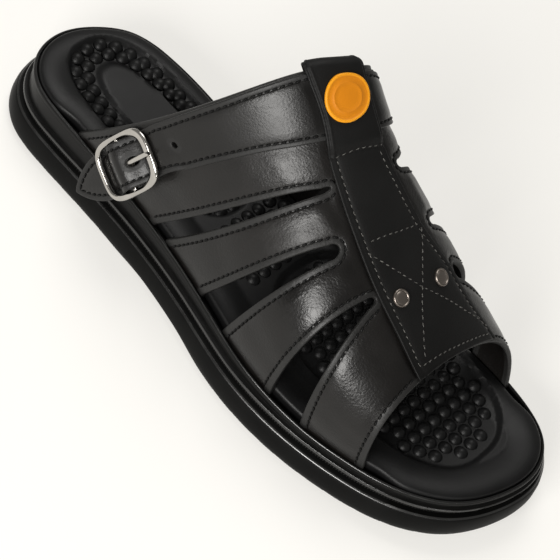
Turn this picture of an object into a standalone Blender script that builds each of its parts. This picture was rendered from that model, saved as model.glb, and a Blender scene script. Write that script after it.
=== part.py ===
"""Strapped leather slide for the right foot, on a moulded sole with a massage footbed.

Metres, +Z up, +Y to the toe, +X to the outer side of the foot. The pieces are worked out with the back of
the heel at Y = 0, and moved at the end so that the origin lies in the middle of the footprint, on the floor.
"""

import math

import bmesh
import bpy
import numpy as np
from mathutils.geometry import delaunay_2d_cdt

# Clearance between two pieces that lie against each other
GAP = 0.0003

# Outline and profile of the sole. Starts, ends and runs along it are shares of its length.
SOLE_LENGTH = 0.290
BALL_WIDTH = 0.1082
HEEL_WIDTH = 0.0805
TOE_SPRING = 0.0082
TOE_SPRING_START = 0.68
WEDGE_START = 0.12
WEDGE_END = 0.72

# Outsole
OUTSOLE_THICKNESS = 0.0127
OUTSOLE_ROUNDING = 0.0021
WAIST_LIFT = 0.0020
WAIST_RISES = (0.31, 0.39)
WAIST_FALLS = (0.47, 0.545)
HEEL_TREAD = (0.10, 0.29)
FORE_TREAD = (0.585, 0.93)
TREAD_DEPTH = 0.0015
TREAD_WIDTH = 0.0045
TREAD_PITCH = 0.0125

# Side of the midsole, from the outsole up: channel, rib, wall and lip
CHANNEL_HEIGHT = 0.0022
RIB_HEIGHT = 0.0013
HEEL_WALL = 0.0099
FORE_WALL = 0.0009
LIP_HEIGHT = 0.0028
LIP_WIDTH = 0.0016
BED_DEPTH = 0.0030
CHANNEL_INSET = 0.0046
RIB_INSET = 0.0035
WALL_INSET = 0.0055
LIP_INSET = 0.0049
CHAMFER = 0.0003

# Footbed
ROLL_RISE = 0.0024
ROLL_WIDTH = 0.015
FIELD_DEPTH = 0.0018
FIELD_WALL = 0.0014

# Upper
INSTEP_HEIGHT = 0.1268
VAMP_HEIGHT = 0.061
CREST_SAG = 0.0024
OUTER_BULGE = 0.0084
INNER_BULGE = 0.0095
LEATHER = 0.0024
MESH_STEP = 0.0070

# Straps on the upper
STRAP_LEATHER = 0.0016
VAMP_LEATHER = 0.0015
FOLD_LENGTH = 0.0090
TAIL_WIDTH = 0.0188
TAIL_LENGTH = 0.0386
TAIL_POINT = 0.45

# Buckle: the frame lies in a plane of its own beside the upper
FRAME_LENGTH = 0.0342
FRAME_WIDTH = 0.0268
FRAME_ROD = 0.0026
BAR_ROD = 0.0022
PRONG_ROD = 0.0018
FRAME_LIFT = 0.0062
FRAME_LEAN = 0.085
FRAME_TWIST = 0.18
FRAME_TURN = 0.17
FRAME_POWER = 3.0
TAB_LEATHER = 0.0012
TAB_WIDTH = 0.0170
TAB_LENGTH = 0.0130
TAB_SLOT = 0.0032
PRONG_HOLE_WIDTH = 0.0034
PRONG_HOLE_ENDS = (-0.0080, -0.0010)

# Badge and rivets
BADGE_DIAMETER = 0.0196
BADGE_THICKNESS = 0.0012
BADGE_BEVEL = 0.0004
RIVET_DIAMETER = 0.0078
RIVET_DOME = 0.0015

# Outline of the sole from above, from the back of the heel round by the outer side. Columns: along as a share
# of SOLE_LENGTH, then the distance from the axis as shares of half the HEEL_WIDTH and half the BALL_WIDTH.
OUTLINE = (
    (0.000, 0.00, 0.000),
    (0.016, 0.55, 0.000),
    (0.060, 0.85, 0.000),
    (0.138, 0.97, 0.000),
    (0.241, 1.00, 0.000),
    (0.344, 0.70, 0.270),
    (0.462, 0.35, 0.645),
    (0.582, 0.00, 1.050),
    (0.689, 0.00, 1.066),
    (0.791, 0.00, 0.980),
    (0.891, 0.00, 0.797),
    (0.953, 0.00, 0.534),
    (0.994, 0.00, 0.089),
    (1.000, 0.00, -0.277),
    (0.966, 0.00, -0.647),
    (0.889, 0.00, -0.856),
    (0.793, 0.00, -0.930),
    (0.707, 0.00, -0.922),
    (0.586, 0.00, -0.834),
    (0.464, -0.35, -0.455),
    (0.345, -0.70, -0.174),
    (0.244, -0.985, 0.000),
    (0.138, -0.96, 0.000),
    (0.064, -0.79, 0.000),
    (0.027, -0.50, 0.000),
)

# Side of the outsole. Columns: share of OUTSOLE_ROUNDING or of the foot's rounding inwards, share of
# OUTSOLE_THICKNESS upwards.
OUTSOLE_SIDE = (
    (1.43, 0.00),
    (0.35, 0.10),
    (0.00, 0.38),
    (0.17, 0.65),
    (0.52, 0.87),
    (1.00, 1.00),
)

# Sunken fields of the footbed. Columns: name, centre along and half length as shares of SOLE_LENGTH, centre
# across and half width as shares of half the BALL_WIDTH.
FIELDS = {
    "heel": (0.228, 0.179, -0.043, 0.438),
    "pad": (0.228, 0.135, -0.059, 0.240),
    "fore": (0.717, 0.200, -0.074, 0.610),
}
FIELD_POWER = 2.6

# Last of the upper. Each row gives its value at the rear edge of the upper and at the front edge.
# feather: where the side meets the sole, as a share of SOLE_LENGTH; crest_along: the top, as the same share;
# crest_across: share of half the BALL_WIDTH; rise and reach: handles of the half section, as shares of its
# height and half width; tilt: slope of the crest down to the outer side; sweep: its run back to that side.
LAST = {
    "outer_feather": (0.171, 0.815),
    "inner_feather": (0.3125, 0.861),
    "crest_along": (0.4165, 0.795),
    "crest_across": (-0.076, 0.022),
    "outer_rise": (0.63, 0.74),
    "outer_reach": (0.59, 0.68),
    "inner_rise": (0.77, 0.67),
    "inner_reach": (1.26, 0.48),
    "tilt": (0.0, -0.14),
    "sweep": (0.52, 0.10),
}

# The upper is cut as a pattern: u runs from -1 at the inner feather over the crest to 1 at the outer feather,
# v from 0 at the rear edge to 1 at the front edge. These lengths of one unit only space its mesh evenly.
PATTERN_U = 0.110
PATTERN_V = 0.150

# Slots between the legs. Columns: side, u of the tip, then v of the rear edge at the tip, halfway and at the
# feather, then the same for the front edge.
SLOT_MIDDLE = 0.6
SLOTS = (
    (1, 0.240, (0.342, 0.295, 0.278), (0.372, 0.335, 0.322)),
    (1, 0.300, (0.510, 0.470, 0.474), (0.550, 0.531, 0.564)),
    (1, 0.238, (0.692, 0.692, 0.742), (0.744, 0.778, 0.832)),
    (-1, 0.185, (0.326, 0.250, 0.230), (0.346, 0.344, 0.330)),
    (-1, 0.260, (0.534, 0.520, 0.500), (0.554, 0.588, 0.580)),
    (-1, 0.290, (0.698, 0.734, 0.786), (0.750, 0.826, 0.865)),
)

# Vamp strap. Columns: v, then u of its inner and outer edges.
VAMP_STRAP = (
    (0.00, -0.140, 0.146),
    (0.14, -0.128, 0.158),
    (0.28, -0.110, 0.202),
    (0.42, -0.124, 0.219),
    (0.56, -0.150, 0.221),
    (0.70, -0.232, 0.224),
    (0.85, -0.305, 0.234),
    (1.00, -0.440, 0.272),
)

# Buckle strap on the upper. Columns: u, then v of its rear and front edges. Past STRAP_BENDS it leaves the
# upper for the buckle, where one unit of u is STRAP_SCALE.
BUCKLE_STRAP = (
    (-0.95, 0.034, 0.182),
    (-0.60, 0.034, 0.190),
    (-0.34, 0.030, 0.200),
    (-0.12, 0.014, 0.212),
    (0.10, 0.006, 0.218),
    (0.30, 0.006, 0.202),
    (0.46, 0.006, 0.178),
    (0.68, 0.008, 0.156),
    (0.82, 0.016, 0.155),
    (1.00, 0.020, 0.158),
)
STRAP_END = -0.95
STRAP_BENDS = 0.70
BUCKLE_U = 0.880
BUCKLE_V = 0.095
STRAP_SCALE = 0.190
STRAP_STEP = (0.012, 0.060)

BADGE_PLACE = (0.010, 0.098)
RIVET_PLACES = {"rivet_outer": (0.136, 0.746), "rivet_inner": (-0.116, 0.736)}

RING_POINTS = 88
OUTSOLE_TOP = OUTSOLE_THICKNESS
MID_BOTTOM = OUTSOLE_TOP + GAP
RIB_TOP = MID_BOTTOM + CHANNEL_HEIGHT + CHAMFER + RIB_HEIGHT
UPPER_INSET = LIP_INSET + LIP_WIDTH + GAP
TUCK = BED_DEPTH - GAP


def clear_scene():
    for thing in list(bpy.data.objects):
        bpy.data.objects.remove(thing, do_unlink=True)


def material(name, colour, roughness, metallic=0.0):
    made = bpy.data.materials.new(name)
    made.use_nodes = True
    shader = made.node_tree.nodes["Principled BSDF"]
    shader.inputs["Base Color"].default_value = (*colour, 1.0)
    shader.inputs["Roughness"].default_value = roughness
    shader.inputs["Metallic"].default_value = metallic
    return made


def finish(name, mesh_maker, finish_material, smooth_angle=40.0):
    """Turn a bmesh into an object with its material, shaded smooth but for its sharp edges."""
    mesh = bpy.data.meshes.new(name)
    mesh_maker.to_mesh(mesh)
    mesh_maker.free()
    mesh.shade_smooth()
    mesh.set_sharp_from_angle(angle=math.radians(smooth_angle))
    mesh.materials.append(finish_material)
    made = bpy.data.objects.new(name, mesh)
    bpy.context.scene.collection.objects.link(made)
    return made


def smoothstep(value, start, end):
    t = np.clip((np.asarray(value, float) - start) / (end - start), 0.0, 1.0)
    return t * t * (3.0 - 2.0 * t)


def from_table(rows, at, column):
    """Smooth reading of a table at a value of its first column."""
    keys = np.array([row[0] for row in rows])
    values = np.array([row[column] for row in rows])
    slopes = np.gradient(values, keys)
    at = np.clip(np.asarray(at, float), keys[0], keys[-1])
    i = np.clip(np.searchsorted(keys, at) - 1, 0, len(keys) - 2)
    step = keys[i + 1] - keys[i]
    t = (at - keys[i]) / step
    return (
        values[i] * (1 + 2 * t) * (1 - t) ** 2
        + slopes[i] * step * t * (1 - t) ** 2
        + values[i + 1] * t * t * (3 - 2 * t)
        + slopes[i + 1] * step * t * t * (t - 1)
    )


def closed_curve(points, count):
    """Points at even steps along the smooth closed curve through the given points."""
    n = len(points)
    steps = np.linalg.norm(np.roll(points, -1, axis=0) - points, axis=1)
    system = np.zeros((n, n))
    right = np.zeros((n, 2))
    for i in range(n):
        after = (i + 1) % n
        before = (i - 1) % n
        system[i, before] = steps[before]
        system[i, i] = 2 * (steps[before] + steps[i])
        system[i, after] = steps[i]
        right[i] = 6 * (points[after] - points[i]) / steps[i] - 6 * (points[i] - points[before]) / steps[before]
    bend = np.linalg.solve(system, right)
    fine = []
    for i in range(n):
        after = (i + 1) % n
        h = steps[i]
        for t in np.linspace(0.0, 1.0, 24, endpoint=False):
            a = 1 - t
            fine.append(
                a * points[i]
                + t * points[after]
                + h * h / 6 * ((a**3 - a) * bend[i] + (t**3 - t) * bend[after])
            )
    fine = np.array(fine)
    ring = np.vstack([fine, fine[:1]])
    walked = np.concatenate([[0.0], np.cumsum(np.linalg.norm(np.diff(ring, axis=0), axis=1))])
    marks = np.linspace(0.0, walked[-1], count, endpoint=False)
    return np.column_stack([np.interp(marks, walked, ring[:, axis]) for axis in (0, 1)])


def outline_points(count):
    heel, ball = HEEL_WIDTH / 2, BALL_WIDTH / 2
    control = [(of_heel * heel + of_ball * ball, along * SOLE_LENGTH) for along, of_heel, of_ball in OUTLINE]
    return closed_curve(np.array(control), count)


def inward(points):
    """Unit directions into a closed outline that runs anticlockwise."""
    along = np.roll(points, -1, axis=0) - np.roll(points, 1, axis=0)
    along /= np.linalg.norm(along, axis=1)[:, None]
    return np.column_stack([-along[:, 1], along[:, 0]])


SOLE = outline_points(RING_POINTS)
SOLE_INWARD = inward(SOLE)
FINE = outline_points(8 * RING_POINTS)
FINE_INWARD = inward(FINE)


def toe_spring(y):
    share = (np.asarray(y) / SOLE_LENGTH - TOE_SPRING_START) / (1.0 - TOE_SPRING_START)
    return TOE_SPRING * np.clip(share, 0.0, 1.0) ** 2


def waist_lift(y):
    share = np.asarray(y) / SOLE_LENGTH
    return WAIST_LIFT * (smoothstep(share, *WAIST_RISES) - smoothstep(share, *WAIST_FALLS))


def rim(y):
    """Height of the midsole's lip: thick under the heel, thin under the ball, lifted at the toe."""
    share = np.clip((np.asarray(y) / SOLE_LENGTH - WEDGE_START) / (WEDGE_END - WEDGE_START), 0.0, 1.0)
    return RIB_TOP + HEEL_WALL + (FORE_WALL - HEEL_WALL) * share + LIP_HEIGHT + toe_spring(y)


def stacked(height):
    return lambda y: height + toe_spring(y)


def below_rim(drop):
    return lambda y: rim(y) - drop


def ring(inset, height):
    """The sole's outline moved inwards, at a height that follows the profile."""
    plan = SOLE + SOLE_INWARD * np.reshape(inset, (-1, 1))
    return np.column_stack([plan, height(plan[:, 1])])


def inside_of(points, loop):
    """Which points lie inside a closed loop, and how far each is from it."""
    ends = np.roll(loop, -1, axis=0)
    crossings = np.zeros(len(points), int)
    nearest = np.full(len(points), np.inf)
    for a, b in zip(loop, ends):
        spans = (a[1] > points[:, 1]) != (b[1] > points[:, 1])
        rise = b[1] - a[1] if b[1] != a[1] else 1.0
        meets = a[0] + (points[:, 1] - a[1]) * (b[0] - a[0]) / rise
        crossings += spans & (points[:, 0] < meets)
        edge = b - a
        t = np.clip((points - a) @ edge / max(edge @ edge, 1e-18), 0.0, 1.0)
        nearest = np.minimum(nearest, np.linalg.norm(a + t[:, None] * edge - points, axis=1))
    return crossings % 2 == 1, nearest


def triangulate(loop, lines, spare, folds=()):
    """Triangles inside a flat loop that keep its closed lines, its open folds and its spare points."""
    flat = [*loop]
    edges = [(i, (i + 1) % len(loop)) for i in range(len(loop))]
    for line in lines:
        start = len(flat)
        flat.extend(line)
        edges.extend((start + i, start + (i + 1) % len(line)) for i in range(len(line)))
    for fold in folds:
        start = len(flat)
        flat.extend(fold)
        edges.extend((start + i, start + i + 1) for i in range(len(fold) - 1))
    flat.extend(spare)
    millimetres = [(1000.0 * float(x), 1000.0 * float(y)) for x, y in flat]
    found, _, faces, origins, _, _ = delaunay_2d_cdt(millimetres, edges, [], 1, 1e-5)
    plan = np.array([(p[0] / 1000.0, p[1] / 1000.0) for p in found])
    on_loop = [next((k for k in known if k < len(loop)), None) for known in origins]
    turned = []
    for face in faces:
        a, b, c = (plan[k] for k in face)
        area = (b[0] - a[0]) * (c[1] - a[1]) - (b[1] - a[1]) * (c[0] - a[0])
        turned.append(tuple(face) if area > 0 else tuple(reversed(face)))
    return plan, turned, on_loop


def grid(loop, step, margin=0.6):
    """Points in staggered rows inside a loop, clear of it."""
    low, high = loop.min(axis=0), loop.max(axis=0)
    rows = []
    for row, y in enumerate(np.arange(low[1], high[1], step * 0.87)):
        xs = np.arange(low[0] + (row % 2) * step / 2, high[0], step)
        rows.append(np.column_stack([xs, np.full(len(xs), y)]))
    points = np.vstack(rows)
    inside, distance = inside_of(points, loop)
    return points[inside & (distance > margin * step)]


def close_end(bm, edge, height, upwards, lines=(), spare=()):
    """Close an open end of a solid with a sheet whose height is a function of its plan."""
    loop = np.array([vert.co[:2] for vert in edge])
    plan, faces, on_loop = triangulate(loop, lines, spare)
    heights = height(plan)
    verts = []
    for point, level, known in zip(plan, heights, on_loop):
        verts.append(edge[known] if known is not None else bm.verts.new((*point, level)))
    for face in faces:
        corners = [verts[k] for k in face]
        bm.faces.new(corners if upwards else corners[::-1])


def loft(bm, rings):
    """Walls through rings of points. Returns the first and last rings."""
    loops = [[bm.verts.new(point) for point in points] for points in rings]
    for lower, upper in zip(loops, loops[1:]):
        for i in range(len(lower)):
            j = (i + 1) % len(lower)
            bm.faces.new((lower[i], lower[j], upper[j], upper[i]))
    return loops[0], loops[-1]


def level_of(height):
    """A sheet height that only follows the profile along the sole."""
    return lambda plan: height(plan[:, 1])


def slab(name, rings, bottom, top, finish_material, lines=(), spare=()):
    bm = bmesh.new()
    lowest, highest = loft(bm, rings)
    close_end(bm, lowest, bottom, upwards=False)
    close_end(bm, highest, top, upwards=True, lines=lines, spare=spare)
    return finish(name, bm, finish_material)


def sole_bottom(y):
    return toe_spring(y) + waist_lift(y)


def outsole_level(share):
    """Height on the outsole's side: its foot follows the raised waist."""
    widest = OUTSOLE_SIDE[2][1]
    return lambda y: share * OUTSOLE_THICKNESS + toe_spring(y) + waist_lift(y) * max(0.0, 1.0 - share / widest)


def tread_cutter():
    """Bars across the sole under heel and forefoot, deep enough to leave the tread's grooves."""
    bm = bmesh.new()
    treads = (HEEL_TREAD, FORE_TREAD)
    grooves = [np.arange(start * SOLE_LENGTH, end * SOLE_LENGTH, TREAD_PITCH) for start, end in treads]
    for y in np.concatenate(grooves):
        top = float(sole_bottom(y)) + TREAD_DEPTH
        made = bmesh.ops.create_cube(bm, size=1.0)["verts"]
        bmesh.ops.scale(bm, vec=(2 * BALL_WIDTH, TREAD_WIDTH, 0.02), verts=made)
        bmesh.ops.translate(bm, vec=(0.0, y, top - 0.01), verts=made)
    cutter = finish("tread_cutter", bm, RUBBER)
    cutter.hide_render = True
    cutter.display_type = "WIRE"
    return cutter


def cut(target, cutter):
    modifier = target.modifiers.new("cut " + cutter.name, "BOOLEAN")
    modifier.operation = "DIFFERENCE"
    modifier.object = cutter


def outsole():
    rings = [ring(inset * OUTSOLE_ROUNDING, outsole_level(share)) for inset, share in OUTSOLE_SIDE]
    made = slab("outsole", rings, level_of(sole_bottom), level_of(stacked(OUTSOLE_TOP)), RUBBER)
    cut(made, tread_cutter())
    return made


def midsole():
    inner = LIP_INSET + LIP_WIDTH
    channel_top = MID_BOTTOM + CHANNEL_HEIGHT
    rings = [
        ring(CHANNEL_INSET, stacked(MID_BOTTOM)),
        ring(CHANNEL_INSET, stacked(channel_top)),
        ring(RIB_INSET, stacked(channel_top + CHAMFER)),
        ring(RIB_INSET, stacked(RIB_TOP)),
        ring(WALL_INSET, stacked(RIB_TOP + CHAMFER)),
        ring(WALL_INSET, below_rim(LIP_HEIGHT)),
        ring(LIP_INSET, below_rim(LIP_HEIGHT - CHAMFER)),
        ring(LIP_INSET, below_rim(CHAMFER)),
        ring(LIP_INSET + CHAMFER, below_rim(0.0)),
        ring(inner, below_rim(0.0)),
        ring(inner, below_rim(BED_DEPTH)),
    ]
    return slab("midsole", rings, level_of(stacked(MID_BOTTOM)), level_of(below_rim(BED_DEPTH)), FOAM)


def leg_room():
    """How far the footbed steps in where the upper's legs come down beside it."""
    legs = SOLE + SOLE_INWARD * UPPER_INSET
    outer = legs[:, 0] > 0
    y = legs[:, 1] / SOLE_LENGTH
    behind, ahead, blend = 0.010, 0.014, 0.025
    room = np.zeros(len(legs))
    for side, name in ((outer, "outer_feather"), (~outer, "inner_feather")):
        start, end = LAST[name]
        start -= behind
        end += ahead
        window = smoothstep(y, start - blend, start) - smoothstep(y, end, end + blend)
        room = np.where(side, window, room)
    return room * (LEATHER + GAP)


def oval(name, shrink=0.0, count=36):
    along, half_length, across, half_width = FIELDS[name]
    a = half_width * BALL_WIDTH / 2 - shrink
    b = half_length * SOLE_LENGTH - shrink
    t = np.linspace(0.0, 2 * math.pi, count, endpoint=False)
    x = np.sign(np.cos(t)) * np.abs(np.cos(t)) ** (2 / FIELD_POWER)
    y = np.sign(np.sin(t)) * np.abs(np.sin(t)) ** (2 / FIELD_POWER)
    return np.column_stack([across * BALL_WIDTH / 2 + a * x, along * SOLE_LENGTH + b * y])


def in_oval(name, plan):
    """0 outside an oval, rising to 1 over its sloping wall."""
    along, half_length, across, half_width = FIELDS[name]
    a = half_width * BALL_WIDTH / 2
    b = half_length * SOLE_LENGTH
    x = np.abs(plan[:, 0] - across * BALL_WIDTH / 2) / a
    y = np.abs(plan[:, 1] - along * SOLE_LENGTH) / b
    reach = (x**FIELD_POWER + y**FIELD_POWER) ** (1 / FIELD_POWER)
    return np.clip((1 - reach) * a / FIELD_WALL, 0.0, 1.0)


def footbed():
    inset = UPPER_INSET + leg_room()
    edge_rise = 0.3 * ROLL_RISE
    edge = (SOLE + SOLE_INWARD * inset[:, None])[:, :2]

    def top(plan):
        _, distance = inside_of(plan, edge)
        t = np.clip(distance / ROLL_WIDTH, 0.0, 1.0)
        roll = edge_rise + (ROLL_RISE - edge_rise) * np.sin(math.pi * np.minimum(t, 1.0) ** 0.75) ** 0.8
        sunk = np.maximum(in_oval("heel", plan) - in_oval("pad", plan), in_oval("fore", plan))
        return rim(plan[:, 1]) + roll - FIELD_DEPTH * sunk

    def edge_top(y):
        return rim(y) + edge_rise

    rings = [
        ring(inset, below_rim(BED_DEPTH - GAP)),
        ring(inset, below_rim(0.0)),
        ring(inset + 0.5 * edge_rise, edge_top),
    ]
    lines = [SOLE + SOLE_INWARD * (inset + share * ROLL_WIDTH)[:, None] for share in (0.14, 0.42)]
    for name in FIELDS:
        outwards = name == "pad"
        lines.append(oval(name, -FIELD_WALL if outwards else 0.0))
        lines.append(oval(name, 0.0 if outwards else FIELD_WALL))
    spare = [point for point in grid(edge, 0.012) if far_from(point, lines, 0.003)]
    return slab("footbed", rings, level_of(below_rim(BED_DEPTH - GAP)), top, SOFT_LINER, lines, spare)


def far_from(point, lines, distance):
    return all(np.linalg.norm(line - point, axis=1).min() > distance for line in lines)


def at_v(name, v):
    rear, front = LAST[name]
    return rear + (front - rear) * v


def feather_across(y, side):
    """Where the outside of the upper meets the lip, on the outer (1) or inner (-1) side."""
    edge = FINE + FINE_INWARD * UPPER_INSET
    half = edge[(side * edge[:, 0] > 0.4 * HEEL_WIDTH / 2) & (edge[:, 1] > 0.05 * SOLE_LENGTH)]
    half = half[np.argsort(half[:, 1])]
    return np.interp(y, half[:, 1], half[:, 0])


def half_section(u, v, side):
    """Outside of the upper on one side: a cubic from the feather up to the crest."""
    name = "outer" if side > 0 else "inner"
    bulge = OUTER_BULGE if side > 0 else -INNER_BULGE
    t = 1.0 - np.minimum(np.abs(u), 1.0)
    foot_y = at_v(name + "_feather", v) * SOLE_LENGTH
    foot_x = feather_across(foot_y, side)
    foot_z = rim(foot_y)
    top_y = at_v("crest_along", v) * SOLE_LENGTH
    top_x = at_v("crest_across", v) * BALL_WIDTH / 2
    top_z = INSTEP_HEIGHT + (VAMP_HEIGHT - INSTEP_HEIGHT) * v - 4 * CREST_SAG * v * (1 - v)
    rise = at_v(name + "_rise", v)
    reach = at_v(name + "_reach", v) * (foot_x - top_x)
    foot = (foot_x, foot_y, foot_z)
    low = (foot_x + bulge, foot_y + rise * (top_y - foot_y), foot_z + rise * (top_z - foot_z))
    high = (top_x + reach, top_y - at_v("sweep", v) * reach, top_z - at_v("tilt", v) * reach)
    top = (top_x, top_y, top_z)
    blend = ((1 - t) ** 3, 3 * (1 - t) ** 2 * t, 3 * (1 - t) * t * t, t**3)
    point = [sum(b * q[axis] for b, q in zip(blend, (foot, low, high, top))) for axis in range(3)]
    point[2] = point[2] - np.maximum(np.abs(u) - 1.0, 0.0) * PATTERN_U
    return np.stack(np.broadcast_arrays(*point), axis=-1)


def last(u, v):
    """Outside of the upper. Past the feather it runs straight down into the sole."""
    u, v = np.broadcast_arrays(np.asarray(u, float), np.asarray(v, float))
    return np.where((u >= 0)[..., None], half_section(u, v, 1), half_section(u, v, -1))


def last_frame(u, v):
    """Unit directions at a point of the last: along u, along v and outwards."""
    u, v = np.broadcast_arrays(np.asarray(u, float), np.asarray(v, float))
    step = 0.008
    along_u = last(u + step, v) - last(u - step, v)
    along_v = last(u, v + step) - last(u, v - step)
    out = np.cross(along_u, along_v)
    return tuple(d / np.linalg.norm(d, axis=-1, keepdims=True) for d in (along_u, along_v, out))


def skin(u, v, height):
    """A point of the pattern at a height above the outside of the upper."""
    return last(u, v) + last_frame(u, v)[2] * np.reshape(height, np.shape(height) + (1,))


def curve_through(three, u):
    """Parabola through v at the tip, the middle and the feather of a slot."""
    tip, at_tip, at_middle, at_feather = three
    m = SLOT_MIDDLE
    a = (u - m) * (u - 1) / ((tip - m) * (tip - 1))
    b = (u - tip) * (u - 1) / ((m - tip) * (m - 1))
    c = (u - tip) * (u - m) / ((1 - tip) * (1 - m))
    return a * at_tip + b * at_middle + c * at_feather


def slot_edge(slot, end):
    """One slot as (u, v) points, in along its rear edge, round its tip and out along its front edge."""
    side, tip, rear, front = slot
    straight = np.array([end, *np.linspace(1.0, tip + 0.045, 9)])
    clipped = np.minimum(straight, 1.0)
    rear_v = curve_through((tip, *rear), clipped)
    front_v = curve_through((tip, *front), clipped)
    middle = (rear_v[-1] + front_v[-1]) / 2
    half = (front_v[-1] - rear_v[-1]) / 2
    depth = straight[-1] - tip
    bend = np.linspace(-math.pi / 2, math.pi / 2, 7)[1:-1]
    points = list(zip(straight, rear_v))
    points += [(straight[-1] - depth * math.cos(a), middle + half * math.sin(a)) for a in bend]
    points += list(zip(straight[::-1], front_v[::-1]))
    return [(side * u, v) for u, v in points]


def upper_outline():
    """The upper's flat pattern, anticlockwise: rear edge, outer legs, front edge, inner legs."""
    end = 1.0 + TUCK / PATTERN_U
    across = np.array([-end, *np.linspace(-1.0, 1.0, 34), end])
    points = [(u, 0.0) for u in across]
    for slot in [s for s in SLOTS if s[0] > 0]:
        points += slot_edge(slot, end)
    points += [(u, 1.0) for u in across[::-1]]
    for slot in [s for s in SLOTS if s[0] < 0][::-1]:
        points += slot_edge(slot, end)[::-1]
    return refined(np.array(points))


def refined(points):
    """Split the long edges of a pattern outline."""
    scale = np.array([PATTERN_U, PATTERN_V])
    out = []
    for a, b in zip(points, np.roll(points, -1, axis=0)):
        parts = max(1, math.ceil(np.linalg.norm((b - a) * scale) / MESH_STEP))
        out += [a + (b - a) * k / parts for k in range(parts)]
    return np.array(out)


def feather_folds(outline):
    """The feather line across each leg, where the pattern bends down into the sole."""
    folds = []
    for side in (1.0, -1.0):
        marks = sorted(v for u, v in outline if abs(u - side) < 1e-6)
        for start, stop in zip(marks[::2], marks[1::2]):
            steps = max(2, round((stop - start) * PATTERN_V / MESH_STEP))
            folds.append(np.array([(side, v) for v in np.linspace(start, stop, steps + 1)]))
    return folds


def panel(name, outline, low, high, finish_material):
    """A piece of leather cut to an outline in the pattern, between two heights above the last."""
    scale = np.array([PATTERN_U, PATTERN_V])
    flat = outline * scale
    folds = [fold * scale for fold in feather_folds(outline)]
    spare = [point for point in grid(flat, MESH_STEP) if far_from(point, folds, 0.5 * MESH_STEP)]
    plan, faces, on_loop = triangulate(flat, (), spare, folds)
    u, v = (plan / scale).T
    bm = bmesh.new()
    under = [bm.verts.new(p) for p in skin(u, v, np.full(len(u), low))]
    over = [bm.verts.new(p) for p in skin(u, v, np.full(len(u), high))]
    for face in faces:
        bm.faces.new([over[k] for k in face])
        bm.faces.new([under[k] for k in reversed(face)])
    edge = {known: k for k, known in enumerate(on_loop) if known is not None}
    for i in range(len(outline)):
        a, b = edge[i], edge[(i + 1) % len(outline)]
        bm.faces.new((under[a], under[b], over[b], over[a]))
    return finish(name, bm, finish_material)


def upper():
    return panel("upper", upper_outline(), -LEATHER, 0.0, LEATHER_GLOSS)


def ribbon(bm, unders, overs):
    """Solid strip between two grids of points, rows along it and columns across it."""
    rings = [np.vstack([under, over[::-1]]) for under, over in zip(unders, overs)]
    first, final = loft(bm, rings)
    columns = len(unders[0])
    for loop, flip in ((first, True), (final, False)):
        for i in range(columns - 1):
            face = (loop[i], loop[i + 1], loop[-2 - i], loop[-1 - i])
            bm.faces.new(face[::-1] if flip else face)
    bmesh.ops.recalc_face_normals(bm, faces=bm.faces)


def strap_top(u, v):
    """Height under the vamp strap: it climbs over the buckle strap and lies on the upper in front of it."""
    front = from_table(BUCKLE_STRAP, u, 2)
    over = 1.0 - smoothstep(v, front + STRAP_STEP[0], front + STRAP_STEP[1])
    return GAP + over * (STRAP_LEATHER + GAP)


def vamp_strap():
    columns = 7
    share = np.linspace(0.0, 1.0, columns)
    unders, overs = [], []

    def row_u(v):
        inner, outer = from_table(VAMP_STRAP, v, 1), from_table(VAMP_STRAP, v, 2)
        return inner + (outer - inner) * share

    for v in np.linspace(0.996, 0.0, 24):
        u = row_u(v)
        height = strap_top(u, v)
        unders.append(skin(u, v, height))
        overs.append(skin(u, v, height + VAMP_LEATHER))

    u = row_u(0.0)
    _, along_v, out = last_frame(u, 0.0)
    back = -along_v
    below = LEATHER + GAP
    above = strap_top(u, 0.0)
    radius = ((above + below) / 2)[:, None]
    centre = last(u, 0.0) + out * ((above - below) / 2)[:, None] + back * GAP
    for angle in np.linspace(0.0, math.pi, 8)[1:]:
        direction = math.cos(angle) * out + math.sin(angle) * back
        unders.append(centre + direction * radius)
        overs.append(centre + direction * (radius + VAMP_LEATHER))
    rear_to_front = np.linalg.norm(last(0.0, 1.0) - last(0.0, 0.0))
    for v in np.linspace(0.0, FOLD_LENGTH / rear_to_front, 3)[1:]:
        unders.append(skin(u, v, np.full(columns, -below)))
        overs.append(skin(u, v, np.full(columns, -below - VAMP_LEATHER)))
    bm = bmesh.new()
    ribbon(bm, unders, overs)
    return finish("vamp_strap", bm, LEATHER_MATT)


def buckle_axes():
    """Centre of the buckle frame, and its directions along the strap, across it and outwards."""
    down, _, out = last_frame(BUCKLE_U, BUCKLE_V)
    across = np.cross(out, down)
    along = math.cos(FRAME_LEAN) * down + math.sin(FRAME_LEAN) * out
    face = math.cos(FRAME_LEAN) * out - math.sin(FRAME_LEAN) * down
    side = math.cos(FRAME_TWIST) * across + math.sin(FRAME_TWIST) * face
    face = math.cos(FRAME_TWIST) * face - math.sin(FRAME_TWIST) * across
    turned = math.cos(FRAME_TURN) * along + math.sin(FRAME_TURN) * side
    side = math.cos(FRAME_TURN) * side - math.sin(FRAME_TURN) * along
    return last(BUCKLE_U, BUCKLE_V) + out * FRAME_LIFT, turned, side, face


def on_frame(along, across, height):
    """A point by its place in the plane of the buckle frame."""
    centre, a, b, n = buckle_axes()
    along, across, height = np.broadcast_arrays(along, across, height)
    return centre + along[..., None] * a + across[..., None] * b + height[..., None] * n


def strap_rise(along):
    """Height of the strap's underside in the frame: under both end bars and over the centre bar."""
    low = -FRAME_ROD / 2 - GAP - STRAP_LEATHER
    high = BAR_ROD / 2 + 2 * GAP + PRONG_ROD + GAP
    reach = FRAME_LENGTH / 2 - 1.8 * FRAME_ROD
    t = np.clip(np.abs(along) / reach, 0.0, 1.0)
    return low + (high - low) * np.cos(math.pi * t / 2) ** 2


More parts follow.
